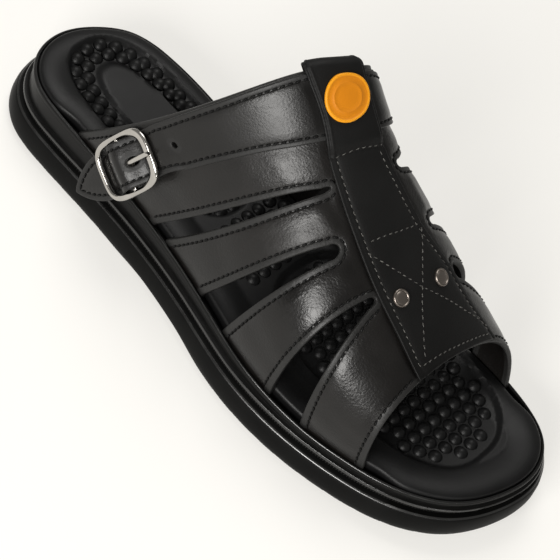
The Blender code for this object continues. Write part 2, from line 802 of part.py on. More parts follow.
def buckle_strap():
    columns = 6
    share = np.linspace(0.0, 1.0, columns)
    tip = BUCKLE_U + TAIL_LENGTH / STRAP_SCALE
    unders, overs = [], []
    lying_rows = np.linspace(STRAP_END, STRAP_BENDS, 24, endpoint=False)
    stations = np.concatenate([lying_rows, np.linspace(STRAP_BENDS, tip - 0.003, 23)])
    for u in stations:
        rear, front = from_table(BUCKLE_STRAP, u, 1), from_table(BUCKLE_STRAP, u, 2)
        v = rear + (front - rear) * share
        along = (u - BUCKLE_U) * STRAP_SCALE
        taper = np.clip((along / TAIL_LENGTH - (1.0 - TAIL_POINT)) / TAIL_POINT, 0.0, 1.0)
        half = TAIL_WIDTH / 2 * (1.0 - taper**2.2) ** 0.6
        across = (2 * share - 1) * half
        rise = strap_rise(along)
        held = smoothstep(along, -0.9 * FRAME_LENGTH, -0.47 * FRAME_LENGTH)
        for rows, extra in ((unders, 0.0), (overs, STRAP_LEATHER)):
            lying = skin(np.full(columns, min(u, 1.0)), v, np.full(columns, GAP + extra))
            threaded = on_frame(along, across, rise + extra)
            rows.append(lying * (1 - held) + threaded * held)
    bm = bmesh.new()
    ribbon(bm, unders, overs)
    made = finish("buckle_strap", bm, LEATHER_GLOSS)
    half = PRONG_HOLE_WIDTH / 2
    hole = block("prong_hole_cutter", PRONG_HOLE_ENDS, (-half, half), (-2 * FRAME_ROD, 3 * FRAME_ROD))
    cut(made, hole)
    return made


def block(name, along, across, height):
    """A hidden box in the plane of the buckle frame, for cutting."""
    bm = bmesh.new()
    verts = [bm.verts.new(on_frame(a, b, h)) for h in height for b in across for a in along]
    for face in ((0, 2, 3, 1), (4, 5, 7, 6), (0, 1, 5, 4), (2, 6, 7, 3), (0, 4, 6, 2), (1, 3, 7, 5)):
        bm.faces.new([verts[k] for k in face])
    bmesh.ops.recalc_face_normals(bm, faces=bm.faces)
    made = finish(name, bm, NICKEL)
    made.hide_render = True
    made.display_type = "WIRE"
    return made


def rod(bm, path, radius, sides, closed=False):
    """Round bar along a path of points."""
    path = np.array(path)
    if closed:
        heading = np.roll(path, -1, axis=0) - np.roll(path, 1, axis=0)
    else:
        heading = np.gradient(path, axis=0)
    heading /= np.linalg.norm(heading, axis=1)[:, None]
    normal = buckle_axes()[3]
    loops = []
    for point, ahead in zip(path, heading):
        side = np.cross(ahead, normal)
        if np.linalg.norm(side) < 0.5:
            side = np.cross(ahead, buckle_axes()[2])
        side /= np.linalg.norm(side)
        up = np.cross(side, ahead)
        angles = np.linspace(0.0, 2 * math.pi, sides, endpoint=False)
        loops.append([bm.verts.new(point + radius * (math.cos(t) * side + math.sin(t) * up)) for t in angles])
    pairs = list(zip(loops, loops[1:]))
    if closed:
        pairs.append((loops[-1], loops[0]))
    for before, after in pairs:
        for i in range(sides):
            j = (i + 1) % sides
            bm.faces.new((before[i], before[j], after[j], after[i]))
    if not closed:
        bm.faces.new(loops[0][::-1])
        bm.faces.new(loops[-1])
    bmesh.ops.recalc_face_normals(bm, faces=bm.faces)


def buckle_frame():
    t = np.linspace(0.0, 2 * math.pi, 36, endpoint=False)
    half_length = (FRAME_LENGTH - FRAME_ROD) / 2
    half_width = (FRAME_WIDTH - FRAME_ROD) / 2
    along = half_length * np.sign(np.cos(t)) * np.abs(np.cos(t)) ** (2 / FRAME_POWER)
    across = half_width * np.sign(np.sin(t)) * np.abs(np.sin(t)) ** (2 / FRAME_POWER)
    bm = bmesh.new()
    rod(bm, on_frame(along, across, 0.0), FRAME_ROD / 2, 8, closed=True)
    frame = finish("buckle_frame", bm, NICKEL, 50.0)
    bm = bmesh.new()
    rod(bm, [on_frame(0.0, half_width, 0.0), on_frame(0.0, -half_width, 0.0)], BAR_ROD / 2, 8)
    bar = finish("centre_bar", bm, NICKEL, 50.0)
    bar.hide_render = True
    bar.display_type = "WIRE"
    join = frame.modifiers.new("join bar", "BOOLEAN")
    join.operation = "UNION"
    join.object = bar
    return frame


def buckle_prong():
    """The prong is bent from one rod: a hook round the centre bar, then straight to the end bar."""
    turn = BAR_ROD / 2 + GAP + PRONG_ROD / 2
    rest = FRAME_ROD / 2 + GAP + PRONG_ROD / 2
    end = FRAME_LENGTH / 2
    hook = [(turn * math.sin(a), turn * math.cos(a)) for a in np.linspace(math.radians(215), 0.0, 9)]
    shaft = [(-0.35 * end, (turn + rest) / 2), (-0.7 * end, rest), (-0.9 * end, rest), (-end, 0.8 * rest)]
    bm = bmesh.new()
    rod(bm, [on_frame(a, 0.0, h) for a, h in hook + shaft], PRONG_ROD / 2, 6)
    return finish("buckle_prong", bm, NICKEL, 50.0)


def buckle_tab():
    """Leather tab: it lies on the upper below the buckle, and rolls up round the centre bar."""
    radius = BAR_ROD / 2 + GAP
    share = np.linspace(-1.0, 1.0, 4)
    across = share * TAB_WIDTH / 2
    v = BUCKLE_V + across / PATTERN_V
    unders, overs = [], []
    for along in TAB_LENGTH * np.linspace(1.0, 0.06, 9):
        held = float(smoothstep(-along, -0.6 * TAB_LENGTH, -0.08 * TAB_LENGTH))
        u = np.full(4, BUCKLE_U + along / STRAP_SCALE)
        for rows, extra in ((unders, 0.0), (overs, TAB_LEATHER)):
            lying = skin(u, v, np.full(4, GAP + extra))
            raised = on_frame(along, across, extra - radius - TAB_LEATHER)
            rows.append(lying * (1 - held) + raised * held)
    for turn in np.radians(np.linspace(0.0, 285.0, 12)):
        for rows, reach in ((unders, radius + TAB_LEATHER), (overs, radius)):
            rows.append(on_frame(-reach * math.sin(turn), across, -reach * math.cos(turn)))
    bm = bmesh.new()
    ribbon(bm, unders, overs)
    made = finish("buckle_tab", bm, LEATHER_GLOSS)
    reach = BAR_ROD / 2 + GAP + PRONG_ROD + GAP
    half = TAB_SLOT / 2
    cut(made, block("tab_slot_cutter", (-reach, 1.2 * reach), (-half, half), (-1.8 * reach, 1.5 * reach)))
    return made


def around(u, v, radius, turn):
    """Places in the pattern on a circle of the last round (u, v)."""
    step = 0.01
    along_u = (last(u + step, v) - last(u - step, v)) / (2 * step)
    along_v = (last(u, v + step) - last(u, v - step)) / (2 * step)
    first = along_u / np.linalg.norm(along_u)
    second = along_v - (along_v @ first) * first
    second /= np.linalg.norm(second)
    dv = radius * np.sin(turn) / (along_v @ second)
    du = (radius * np.cos(turn) - dv * (along_v @ first)) / np.linalg.norm(along_u)
    return u + du, v + dv


def badge():
    """Round disc that bends with the strap under it."""
    u0, v0 = BADGE_PLACE
    low = float(strap_top(u0, v0)) + VAMP_LEATHER + GAP
    turn = np.linspace(0.0, 2 * math.pi, 28, endpoint=False)
    rows = (
        (0.0, 0.0),
        (0.5, 0.0),
        (1.0, 0.0),
        (1.0, BADGE_THICKNESS - BADGE_BEVEL),
        (1.0 - 2 * BADGE_BEVEL / BADGE_DIAMETER, BADGE_THICKNESS),
        (0.5, BADGE_THICKNESS),
        (0.0, BADGE_THICKNESS),
    )
    bm = bmesh.new()
    rings = []
    for reach, height in rows:
        if reach == 0.0:
            rings.append([bm.verts.new(skin(u0, v0, low + height))])
            continue
        u, v = around(u0, v0, reach * BADGE_DIAMETER / 2, turn)
        rings.append([bm.verts.new(point) for point in skin(u, v, np.full(len(turn), low + height))])
    for before, after in zip(rings, rings[1:]):
        for i in range(len(turn)):
            j = (i + 1) % len(turn)
            if len(before) == 1:
                bm.faces.new((before[0], after[j], after[i]))
            elif len(after) == 1:
                bm.faces.new((before[i], before[j], after[0]))
            else:
                bm.faces.new((before[i], before[j], after[j], after[i]))
    bmesh.ops.recalc_face_normals(bm, faces=bm.faces)
    return finish("badge", bm, BADGE_ENAMEL)


def rivet(name):
    """Domed head on the vamp strap, turned round the outward direction."""
    u, v = RIVET_PLACES[name]
    along_u, _, out = last_frame(u, v)
    side = np.cross(out, along_u)
    seat = float(strap_top(u, v)) + VAMP_LEATHER + GAP
    radius = RIVET_DIAMETER / 2
    profile = (
        (0.0, 0.0),
        (1.0, 0.0),
        (1.0, 0.3),
        (0.85, 0.66),
        (0.5, 0.93),
        (0.0, 1.0),
    )
    base = last(u, v) + out * seat
    bm = bmesh.new()
    verts = [bm.verts.new(base + along_u * radius * r + out * RIVET_DOME * h) for r, h in profile]
    edges = [bm.edges.new(pair) for pair in zip(verts, verts[1:])]
    bmesh.ops.spin(
        bm, geom=verts + edges, cent=base, axis=out, dvec=(0, 0, 0), angle=2 * math.pi, steps=20, use_merge=True
    )
    bmesh.ops.remove_doubles(bm, verts=bm.verts, dist=1e-6)
    bmesh.ops.recalc_face_normals(bm, faces=bm.faces)
    return finish(name, bm, NICKEL)


def stand_at_origin():
    """Move every mesh so that the footprint's middle, on the floor, is at the origin."""
    whole = [thing for thing in bpy.data.objects if thing.type == "MESH"]
    kept = [thing for thing in whole if not thing.hide_render]
    corners = np.array([vert.co for thing in kept for vert in thing.data.vertices])
    low, high = corners.min(axis=0), corners.max(axis=0)
    middle = ((low[0] + high[0]) / 2, (low[1] + high[1]) / 2, low[2])
    for thing in whole:
        for vert in thing.data.vertices:
            vert.co = (vert.co[0] - middle[0], vert.co[1] - middle[1], vert.co[2] - middle[2])


clear_scene()
RUBBER = material("rubber", (0.018, 0.018, 0.018), 0.50)
FOAM = material("foam", (0.022, 0.021, 0.020), 0.45)
SOFT_LINER = material("soft_liner", (0.030, 0.030, 0.030), 0.50)
LEATHER_GLOSS = material("leather_gloss", (0.012, 0.011, 0.010), 0.28)
LEATHER_MATT = material("leather_matt", (0.022, 0.022, 0.022), 0.60)
NICKEL = material("nickel", (0.66, 0.63, 0.58), 0.22, 1.0)
BADGE_ENAMEL = material("badge_enamel", (0.80, 0.36, 0.01), 0.40)

outsole()
midsole()
footbed()
upper()
buckle_strap()
vamp_strap()
buckle_frame()
buckle_prong()
buckle_tab()
badge()
for rivet_name in RIVET_PLACES:
    rivet(rivet_name)
stand_at_origin()
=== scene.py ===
"""Strapped leather slide for the right foot: its looks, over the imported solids.

Lengths are in metres unless a name says millimetres. The sole, the last and the straps repeat the sizes of the
solids, worked out with the back of the heel at Y = 0, and TO_FRAME carries every finished piece to its place.
"""

import math

import bmesh
import bpy
import numpy as np
from mathutils import Matrix, Vector


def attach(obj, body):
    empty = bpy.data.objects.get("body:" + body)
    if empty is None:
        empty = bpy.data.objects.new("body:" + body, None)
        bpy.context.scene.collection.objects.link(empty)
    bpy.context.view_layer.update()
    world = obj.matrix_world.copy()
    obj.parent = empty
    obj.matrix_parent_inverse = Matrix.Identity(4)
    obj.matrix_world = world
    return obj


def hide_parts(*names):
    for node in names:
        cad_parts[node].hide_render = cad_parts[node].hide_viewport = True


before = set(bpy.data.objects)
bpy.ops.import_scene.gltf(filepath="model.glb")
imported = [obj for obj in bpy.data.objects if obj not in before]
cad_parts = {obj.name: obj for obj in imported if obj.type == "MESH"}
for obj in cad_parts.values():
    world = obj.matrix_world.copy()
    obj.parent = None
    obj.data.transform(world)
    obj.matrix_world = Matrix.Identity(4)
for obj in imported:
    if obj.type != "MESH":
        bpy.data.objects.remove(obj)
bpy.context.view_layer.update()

# Camera: the photograph's place, high over the outer side with a long lens, rolled so that the heel is at the
# upper left and the toe at the lower right.
CAMERA_AZIMUTH = math.radians(108.088)
CAMERA_ELEVATION = math.radians(49.831)
CAMERA_ROLL = math.radians(31.153)
CAMERA_DISTANCE = 0.893591
CAMERA_TARGET = Vector((-0.0037975, -0.0001635, 0.020))
CAMERA_LENS = 134.109

toward_camera = Vector(
    (
        math.sin(CAMERA_AZIMUTH) * math.cos(CAMERA_ELEVATION),
        -math.cos(CAMERA_AZIMUTH) * math.cos(CAMERA_ELEVATION),
        math.sin(CAMERA_ELEVATION),
    )
)
level = Vector((math.cos(CAMERA_AZIMUTH), math.sin(CAMERA_AZIMUTH), 0.0))
upright = toward_camera.cross(level)
camera_x = level * math.cos(CAMERA_ROLL) + upright * math.sin(CAMERA_ROLL)
camera_y = -level * math.sin(CAMERA_ROLL) + upright * math.cos(CAMERA_ROLL)
camera_data = bpy.data.cameras.new("photograph_camera")
camera_data.lens = CAMERA_LENS
camera_data.sensor_width = 36.0
camera_data.shift_x = 0.0071
camera_data.shift_y = -0.0271
camera_data.clip_start = 0.01
camera_data.clip_end = 20.0
camera = bpy.data.objects.new("photograph_camera", camera_data)
camera_axes = Matrix((camera_x, camera_y, toward_camera)).transposed()
camera.matrix_world = Matrix.Translation(CAMERA_TARGET + toward_camera * CAMERA_DISTANCE) @ camera_axes.to_4x4()
bpy.context.scene.collection.objects.link(camera)
bpy.context.scene.camera = camera

# Studio: a pale warm floor that glows a little, like a lit white table, under a pale surround. One large soft
# light hangs over the heel and the inner side, a smaller, stronger one stands on the outer side, and a low card
# stands beyond the toe.
FLOOR_COLOUR = (0.42, 0.413, 0.397)
FLOOR_GLOW = 0.535
SURROUND_COLOUR = (0.985, 0.970, 0.930)
SURROUND_STRENGTH = 0.28

floor_mesh = bpy.data.meshes.new("floor")
bm = bmesh.new()
bmesh.ops.create_grid(bm, x_segments=1, y_segments=1, size=6.0)
bm.to_mesh(floor_mesh)
bm.free()
floor = bpy.data.objects.new("floor", floor_mesh)
bpy.context.scene.collection.objects.link(floor)
floor_paint = bpy.data.materials.new("floor_paint")
floor_paint.use_nodes = True
floor_shader = floor_paint.node_tree.nodes["Principled BSDF"]
floor_shader.inputs["Base Color"].default_value = (*FLOOR_COLOUR, 1.0)
floor_shader.inputs["Roughness"].default_value = 0.9
floor_shader.inputs["Specular IOR Level"].default_value = 0.1
floor_shader.inputs["Emission Color"].default_value = (*SURROUND_COLOUR, 1.0)
floor_shader.inputs["Emission Strength"].default_value = FLOOR_GLOW
floor_mesh.materials.append(floor_paint)

surround = bpy.data.worlds.new("surround")
surround.use_nodes = True
surround.node_tree.nodes["Background"].inputs["Color"].default_value = (*SURROUND_COLOUR, 1.0)
surround.node_tree.nodes["Background"].inputs["Strength"].default_value = SURROUND_STRENGTH
bpy.context.scene.world = surround
bpy.context.scene.view_settings.view_transform = "Standard"


def soft_light(name, place, aim, width, height, power):
    """Rectangular studio light at a place, turned to its aim."""
    light = bpy.data.lights.new(name, "AREA")
    light.shape = "RECTANGLE"
    light.size = width
    light.size_y = height
    light.energy = power
    light.color = (1.0, 0.985, 0.96)
    lamp = bpy.data.objects.new(name, light)
    lamp.location = place
    lamp.rotation_euler = (Vector(place) - Vector(aim)).to_track_quat("Z", "Y").to_euler()
    bpy.context.scene.collection.objects.link(lamp)


soft_light("overhead_light", (-0.40, -0.45, 1.15), (0.0, 0.0, 0.03), 0.75, 0.75, 8.0)
soft_light("side_light", (1.22, 0.16, 0.66), (0.0, 0.0, 0.05), 0.66, 0.50, 21.0)
soft_light("toe_card", (0.70, 1.10, 0.30), (0.02, 0.05, 0.02), 0.50, 0.20, 1.6)

# Outsole: moulded black rubber, a round wall with a slim top edge, raised a little at the waist and cut into
# tread bars under heel and forefoot. It is one pressed unit, glued under the wedge.
TO_FRAME = Matrix.Translation((-0.0037975, -0.1451635, 0.0))
SOLE_LENGTH = 0.290
BALL_WIDTH = 0.1082
HEEL_WIDTH = 0.0805
TOE_SPRING = 0.0082
TOE_SPRING_START = 0.68
WAIST_LIFT = 0.0020
WAIST_RISES = (0.31, 0.39)
WAIST_FALLS = (0.47, 0.545)
OUTSOLE_THICKNESS = 0.0127
OUTSOLE_ROUNDING = 0.0021
HEEL_TREAD = (0.10, 0.29)
FORE_TREAD = (0.585, 0.93)
TREAD_DEPTH = 0.0015
TREAD_WIDTH = 0.0045
TREAD_PITCH = 0.0125
RUN_POINTS = 352

# Columns: along as a share of the sole's length, then across as shares of half the heel and half the ball width.
OUTLINE = (
    (0.000, 0.00, 0.000),
    (0.016, 0.55, 0.000),
    (0.060, 0.85, 0.000),
    (0.138, 0.97, 0.000),
    (0.241, 1.00, 0.000),
    (0.344, 0.70, 0.270),
    (0.462, 0.35, 0.645),
    (0.582, 0.00, 1.050),
    (0.689, 0.00, 1.066),
    (0.791, 0.00, 0.980),
    (0.891, 0.00, 0.797),
    (0.953, 0.00, 0.534),
    (0.994, 0.00, 0.089),
    (1.000, 0.00, -0.277),
    (0.966, 0.00, -0.647),
    (0.889, 0.00, -0.856),
    (0.793, 0.00, -0.930),
    (0.707, 0.00, -0.922),
    (0.586, 0.00, -0.834),
    (0.464, -0.35, -0.455),
    (0.345, -0.70, -0.174),
    (0.244, -0.985, 0.000),
    (0.138, -0.96, 0.000),
    (0.064, -0.79, 0.000),
    (0.027, -0.50, 0.000),
)
# Columns: share of the wall's height, then how far the wall stands in, as a share of its rounding.
OUTSOLE_WALL = (
    (0.00, 1.43),
    (0.04, 0.75),
    (0.10, 0.35),
    (0.22, 0.08),
    (0.38, 0.00),
    (0.65, 0.17),
    (0.87, 0.52),
    (0.95, 0.78),
    (1.00, 1.15),
)


def smoothstep(value, start, end):
    t = np.clip((np.asarray(value, float) - start) / (end - start), 0.0, 1.0)
    return t * t * (3.0 - 2.0 * t)


def smooth_closed_line(corners, count):
    """Evenly spaced points on the smooth closed line through the given corners."""
    n = len(corners)
    steps = np.linalg.norm(np.roll(corners, -1, axis=0) - corners, axis=1)
    system = np.zeros((n, n))
    right = np.zeros((n, 2))
    for i in range(n):
        after, before = (i + 1) % n, (i - 1) % n
        system[i, before] = steps[before]
        system[i, i] = 2 * (steps[before] + steps[i])
        system[i, after] = steps[i]
        ahead = (corners[after] - corners[i]) / steps[i]
        behind = (corners[i] - corners[before]) / steps[before]
        right[i] = 6 * (ahead - behind)
    bend = np.linalg.solve(system, right)
    t = np.linspace(0.0, 1.0, 48, endpoint=False)[:, None]
    fine = []
    for i in range(n):
        after = (i + 1) % n
        a = 1 - t
        pull = (a**3 - a) * bend[i] + (t**3 - t) * bend[after]
        fine.append(a * corners[i] + t * corners[after] + steps[i] ** 2 / 6 * pull)
    fine = np.vstack([*fine, fine[0][:1]])
    walked = np.concatenate([[0.0], np.cumsum(np.linalg.norm(np.diff(fine, axis=0), axis=1))])
    marks = np.linspace(0.0, walked[-1], count, endpoint=False)
    return np.column_stack([np.interp(marks, walked, fine[:, axis]) for axis in (0, 1)])


def toe_spring(y):
    share = (np.asarray(y) / SOLE_LENGTH - TOE_SPRING_START) / (1.0 - TOE_SPRING_START)
    return TOE_SPRING * np.clip(share, 0.0, 1.0) ** 2


def waist_lift(y):
    share = np.asarray(y) / SOLE_LENGTH
    return WAIST_LIFT * (smoothstep(share, *WAIST_RISES) - smoothstep(share, *WAIST_FALLS))


half_heel, half_ball = HEEL_WIDTH / 2, BALL_WIDTH / 2
outline_corners = [(heel * half_heel + ball * half_ball, along * SOLE_LENGTH) for along, heel, ball in OUTLINE]
SOLE_EDGE = smooth_closed_line(np.array(outline_corners), RUN_POINTS)
edge_heading = np.roll(SOLE_EDGE, -1, axis=0) - np.roll(SOLE_EDGE, 1, axis=0)
edge_heading /= np.linalg.norm(edge_heading, axis=1)[:, None]
EDGE_INWARD = np.column_stack([-edge_heading[:, 1], edge_heading[:, 0]])


def sole_ring(inset, height):
    """The sole's outline moved inwards, at heights given as a function of the place along the sole."""
    plan = SOLE_EDGE + EDGE_INWARD * np.reshape(inset, (-1, 1))
    return np.column_stack([plan, height(plan[:, 1])])


def stack_rings(bm, rings):
    """A wall through closed rings of points, each ring extruded from the one before it."""
    run = bm.verts.layers.int.new("run")
    level = bm.verts.layers.int.new("level")
    loop = bmesh.ops.create_circle(bm, segments=len(rings[0]), radius=1.0)["verts"]
    edges = list({edge for vert in loop for edge in vert.link_edges})
    first = list(loop)
    for place, ring in enumerate(rings):
        if place:
            grown = bmesh.ops.extrude_edge_only(bm, edges=edges)["geom"]
            fresh = {item for item in grown if isinstance(item, bmesh.types.BMVert)}
            edges = [e for e in grown if isinstance(e, bmesh.types.BMEdge) and set(e.verts) <= fresh]
            loop = [next(e.other_vert(v) for e in v.link_edges if e.other_vert(v) in fresh) for v in loop]
        for step, (vert, point) in enumerate(zip(loop, ring)):
            vert.co = point
            vert[run] = step
            vert[level] = place
    return first, loop


def rows_of(bm, rows):
    """Faces of a wall that rise from the given rings."""
    level = bm.verts.layers.int["level"]
    return [face for face in bm.faces if min(vert[level] for vert in face.verts) in rows]


def close_ring(bm, loop):
    """Flat cover over an open ring of vertices."""
    members = set(loop)
    edges = [edge for edge in {e for v in loop for e in v.link_edges} if set(edge.verts) <= members]
    return bmesh.ops.triangle_fill(bm, use_beauty=True, use_dissolve=False, edges=edges)["geom"]


def stand_up(name, bm, sharp=40.0):
    """Turn a worked-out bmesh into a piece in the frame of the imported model."""
    bm.transform(TO_FRAME)
    mesh = bpy.data.meshes.new(name)
    bm.to_mesh(mesh)
    bm.free()
    mesh.shade_smooth()
    mesh.set_sharp_from_angle(angle=math.radians(sharp))
    piece = bpy.data.objects.new(name, mesh)
    bpy.context.scene.collection.objects.link(piece)
    return piece


def new_node(tree, kind, inputs=(), **settings):
    """A shader node with its settings and the values of its named inputs."""
    node = tree.nodes.new(kind)
    for key, value in settings.items():
        setattr(node, key, value)
    for key, value in dict(inputs).items():
        node.inputs[key].default_value = value
    return node


def plain_material(name, colour, roughness, metallic=0.0, specular=0.5, coat=0.0, coat_roughness=0.1):
    """A material with one shader whose even values are set on its own sockets."""
    made = bpy.data.materials.new(name)
    made.use_nodes = True
    shader = made.node_tree.nodes["Principled BSDF"]
    shader.inputs["Base Color"].default_value = (*colour, 1.0)
    shader.inputs["Roughness"].default_value = roughness
    shader.inputs["Metallic"].default_value = metallic
    shader.inputs["Specular IOR Level"].default_value = specular
    shader.inputs["Coat Weight"].default_value = coat
    shader.inputs["Coat Roughness"].default_value = coat_roughness
    return made, made.node_tree, shader


def ramp_between(tree, value, low, high, start=0.0, end=1.0):
    """Colours between two ends by a value, and a grey where both ends are numbers."""
    ramp = tree.nodes.new("ShaderNodeValToRGB")
    ramp.color_ramp.elements[0].position = start
    ramp.color_ramp.elements[1].position = end
    for element, colour in zip(ramp.color_ramp.elements, (low, high)):
        element.color = (*colour, 1.0) if isinstance(colour, tuple) else (colour, colour, colour, 1.0)
    tree.links.new(value, ramp.inputs["Fac"])
    return ramp.outputs["Color"]


def group_sockets(tree, inputs, outputs):
    for name, value in inputs.items():
        socket = tree.interface.new_socket(name, in_out="INPUT", socket_type="NodeSocketFloat")
        socket.default_value = value
    for name, kind in outputs.items():
        tree.interface.new_socket(name, in_out="OUTPUT", socket_type=kind)
    return tree.nodes.new("NodeGroupInput"), tree.nodes.new("NodeGroupOutput")


# Handling marks that every soft black finish here carries: broad cloudy sheen and fine specks.
handled = bpy.data.node_groups.new("handled_surface", "ShaderNodeTree")
entry, leave = group_sockets(
    handled,
    {"Cloud Scale": 30.0, "Speck Scale": 900.0, "Rough Low": 0.4, "Rough High": 0.6},
    {"Cloud": "NodeSocketFloat", "Roughness": "NodeSocketFloat", "Speck": "NodeSocketFloat"},
)
place_in = new_node(handled, "ShaderNodeTexCoord")
cloud = new_node(handled, "ShaderNodeTexNoise", {"Detail": 4.0, "Roughness": 0.55})
speck = new_node(handled, "ShaderNodeTexNoise", {"Detail": 3.0, "Roughness": 0.6})
spread = new_node(handled, "ShaderNodeMapRange", {"From Min": 0.3, "From Max": 0.7})
handled.links.new(place_in.outputs["Object"], cloud.inputs["Vector"])
handled.links.new(place_in.outputs["Object"], speck.inputs["Vector"])
handled.links.new(entry.outputs["Cloud Scale"], cloud.inputs["Scale"])
handled.links.new(entry.outputs["Speck Scale"], speck.inputs["Scale"])
handled.links.new(cloud.outputs["Fac"], spread.inputs["Value"])
handled.links.new(entry.outputs["Rough Low"], spread.inputs["To Min"])
handled.links.new(entry.outputs["Rough High"], spread.inputs["To Max"])
handled.links.new(cloud.outputs["Fac"], leave.inputs["Cloud"])
handled.links.new(spread.outputs["Result"], leave.inputs["Roughness"])
handled.links.new(speck.outputs["Fac"], leave.inputs["Speck"])


def handle(tree, shader, values, dark, light, bump):
    """Cloudy colour, cloudy roughness and fine specks on a shader."""
    marks = new_node(tree, "ShaderNodeGroup", node_tree=handled)
    for key, value in values.items():
        marks.inputs[key].default_value = value
    tree.links.new(ramp_between(tree, marks.outputs["Cloud"], dark, light, 0.3, 0.7), shader.inputs["Base Color"])
    tree.links.new(marks.outputs["Roughness"], shader.inputs["Roughness"])
    relief = new_node(tree, "ShaderNodeBump", {"Strength": 1.0, "Distance": bump})
    tree.links.new(marks.outputs["Speck"], relief.inputs["Height"])
    tree.links.new(relief.outputs["Normal"], shader.inputs["Normal"])
    return marks, relief


moulded_rubber, rubber_tree, rubber_shader = plain_material("moulded_rubber", (0.02, 0.02, 0.02), 0.5, specular=0.07)
handle(
    rubber_tree,
    rubber_shader,
    {"Cloud Scale": 45.0, "Speck Scale": 1500.0, "Rough Low": 0.42, "Rough High": 0.54},
    (0.0022, 0.0022, 0.0021),
    (0.0042, 0.0042, 0.0040),
    0.00006,
)

polished_edge, edge_tree, edge_shader = plain_material("polished_edge", (0.02, 0.02, 0.02), 0.25, specular=0.75)
handle(
    edge_tree,
    edge_shader,
    {"Cloud Scale": 90.0, "Speck Scale": 1500.0, "Rough Low": 0.20, "Rough High": 0.36},
    (0.0040, 0.0040, 0.0038),
    (0.0070, 0.0069, 0.0066),
    0.00003,
)

wall_shares = np.array([row[0] for row in OUTSOLE_WALL])
wall_insets = np.array([row[1] for row in OUTSOLE_WALL]) * OUTSOLE_ROUNDING
widest = 0.38
bm = bmesh.new()
outsole_rings = []
for share, inset in zip(wall_shares, wall_insets):
    lifted = max(0.0, 1.0 - share / widest)
    outsole_rings.append(
        sole_ring(inset, lambda y, s=share, k=lifted: s * OUTSOLE_THICKNESS + toe_spring(y) + waist_lift(y) * k)
    )
outsole_rings.append(sole_ring(0.0085, lambda y: OUTSOLE_THICKNESS + toe_spring(y)))
sole_foot, sole_top = stack_rings(bm, outsole_rings)
for face in rows_of(bm, (7,)):
    face.material_index = 1
foot_rings = [
    sole_ring(inset, lambda y: toe_spring(y) + waist_lift(y)) for inset in (0.0060, 0.0120, 0.0180)
]
edges = [e for e in {e for v in sole_foot for e in v.link_edges} if set(e.verts) <= set(sole_foot)]
loop = sole_foot
for ring in foot_rings:
    grown = bmesh.ops.extrude_edge_only(bm, edges=edges)["geom"]
    fresh = {item for item in grown if isinstance(item, bmesh.types.BMVert)}
    edges = [e for e in grown if isinstance(e, bmesh.types.BMEdge) and set(e.verts) <= fresh]
    loop = [next(e.other_vert(v) for e in v.link_edges if e.other_vert(v) in fresh) for v in loop]
    for vert, point in zip(loop, ring):
        vert.co = point
close_ring(bm, loop)
close_ring(bm, sole_top)
bmesh.ops.recalc_face_normals(bm, faces=bm.faces[:])
outsole = stand_up("rubber_outsole", bm)
outsole.data.materials.append(moulded_rubber)
outsole.data.materials.append(polished_edge)

bm = bmesh.new()
for start, end in (HEEL_TREAD, FORE_TREAD):
    for y in np.arange(start * SOLE_LENGTH, end * SOLE_LENGTH, TREAD_PITCH):
        depth = float(toe_spring(y) + waist_lift(y)) + TREAD_DEPTH
        bar = bmesh.ops.create_cube(bm, size=1.0)["verts"]
        bmesh.ops.scale(bm, vec=(2 * BALL_WIDTH, TREAD_WIDTH, 0.02), verts=bar)
        bmesh.ops.translate(bm, vec=(0.0, y, depth - 0.01), verts=bar)
tread_tool = stand_up("tread_tool", bm)
groove = outsole.modifiers.new("tread", "BOOLEAN")
groove.operation = "DIFFERENCE"
groove.object = tread_tool
graph = bpy.context.evaluated_depsgraph_get()
cut_mesh = bpy.data.meshes.new_from_object(outsole.evaluated_get(graph), depsgraph=graph)
outsole.modifiers.clear()
outsole.data = cut_mesh
bpy.data.objects.remove(tread_tool, do_unlink=True)
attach(outsole, "root")
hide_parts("outsole")

# Midsole: a light foam wedge, thick under the heel and thin under the ball. Its side is moulded with a knurled
# channel, a slim polished rib, a plain wall and a rolled lip that the footbed lies in.
GAP = 0.0003
CHANNEL_HEIGHT = 0.0022
RIB_HEIGHT = 0.0013
HEEL_WALL = 0.0099
FORE_WALL = 0.0009
WEDGE_START = 0.12
WEDGE_END = 0.72
LIP_HEIGHT = 0.0028
LIP_WIDTH = 0.0016
BED_DEPTH = 0.0030
CHANNEL_INSET = 0.0046
RIB_INSET = 0.0035
WALL_INSET = 0.0055
LIP_INSET = 0.0049
MID_BOTTOM = OUTSOLE_THICKNESS + GAP
RIB_TOP = MID_BOTTOM + CHANNEL_HEIGHT + 0.0003 + RIB_HEIGHT
UPPER_INSET = LIP_INSET + LIP_WIDTH + GAP
KNURL_PITCH = 0.0013


def rim(y):
    """Height of the lip along the sole."""
    share = np.clip((np.asarray(y) / SOLE_LENGTH - WEDGE_START) / (WEDGE_END - WEDGE_START), 0.0, 1.0)
    return RIB_TOP + HEEL_WALL + (FORE_WALL - HEEL_WALL) * share + LIP_HEIGHT + toe_spring(y)


def raised(height):
    return lambda y: height + toe_spring(y)


def under_rim(drop):
    return lambda y: rim(y) - drop


channel_top = MID_BOTTOM + CHANNEL_HEIGHT
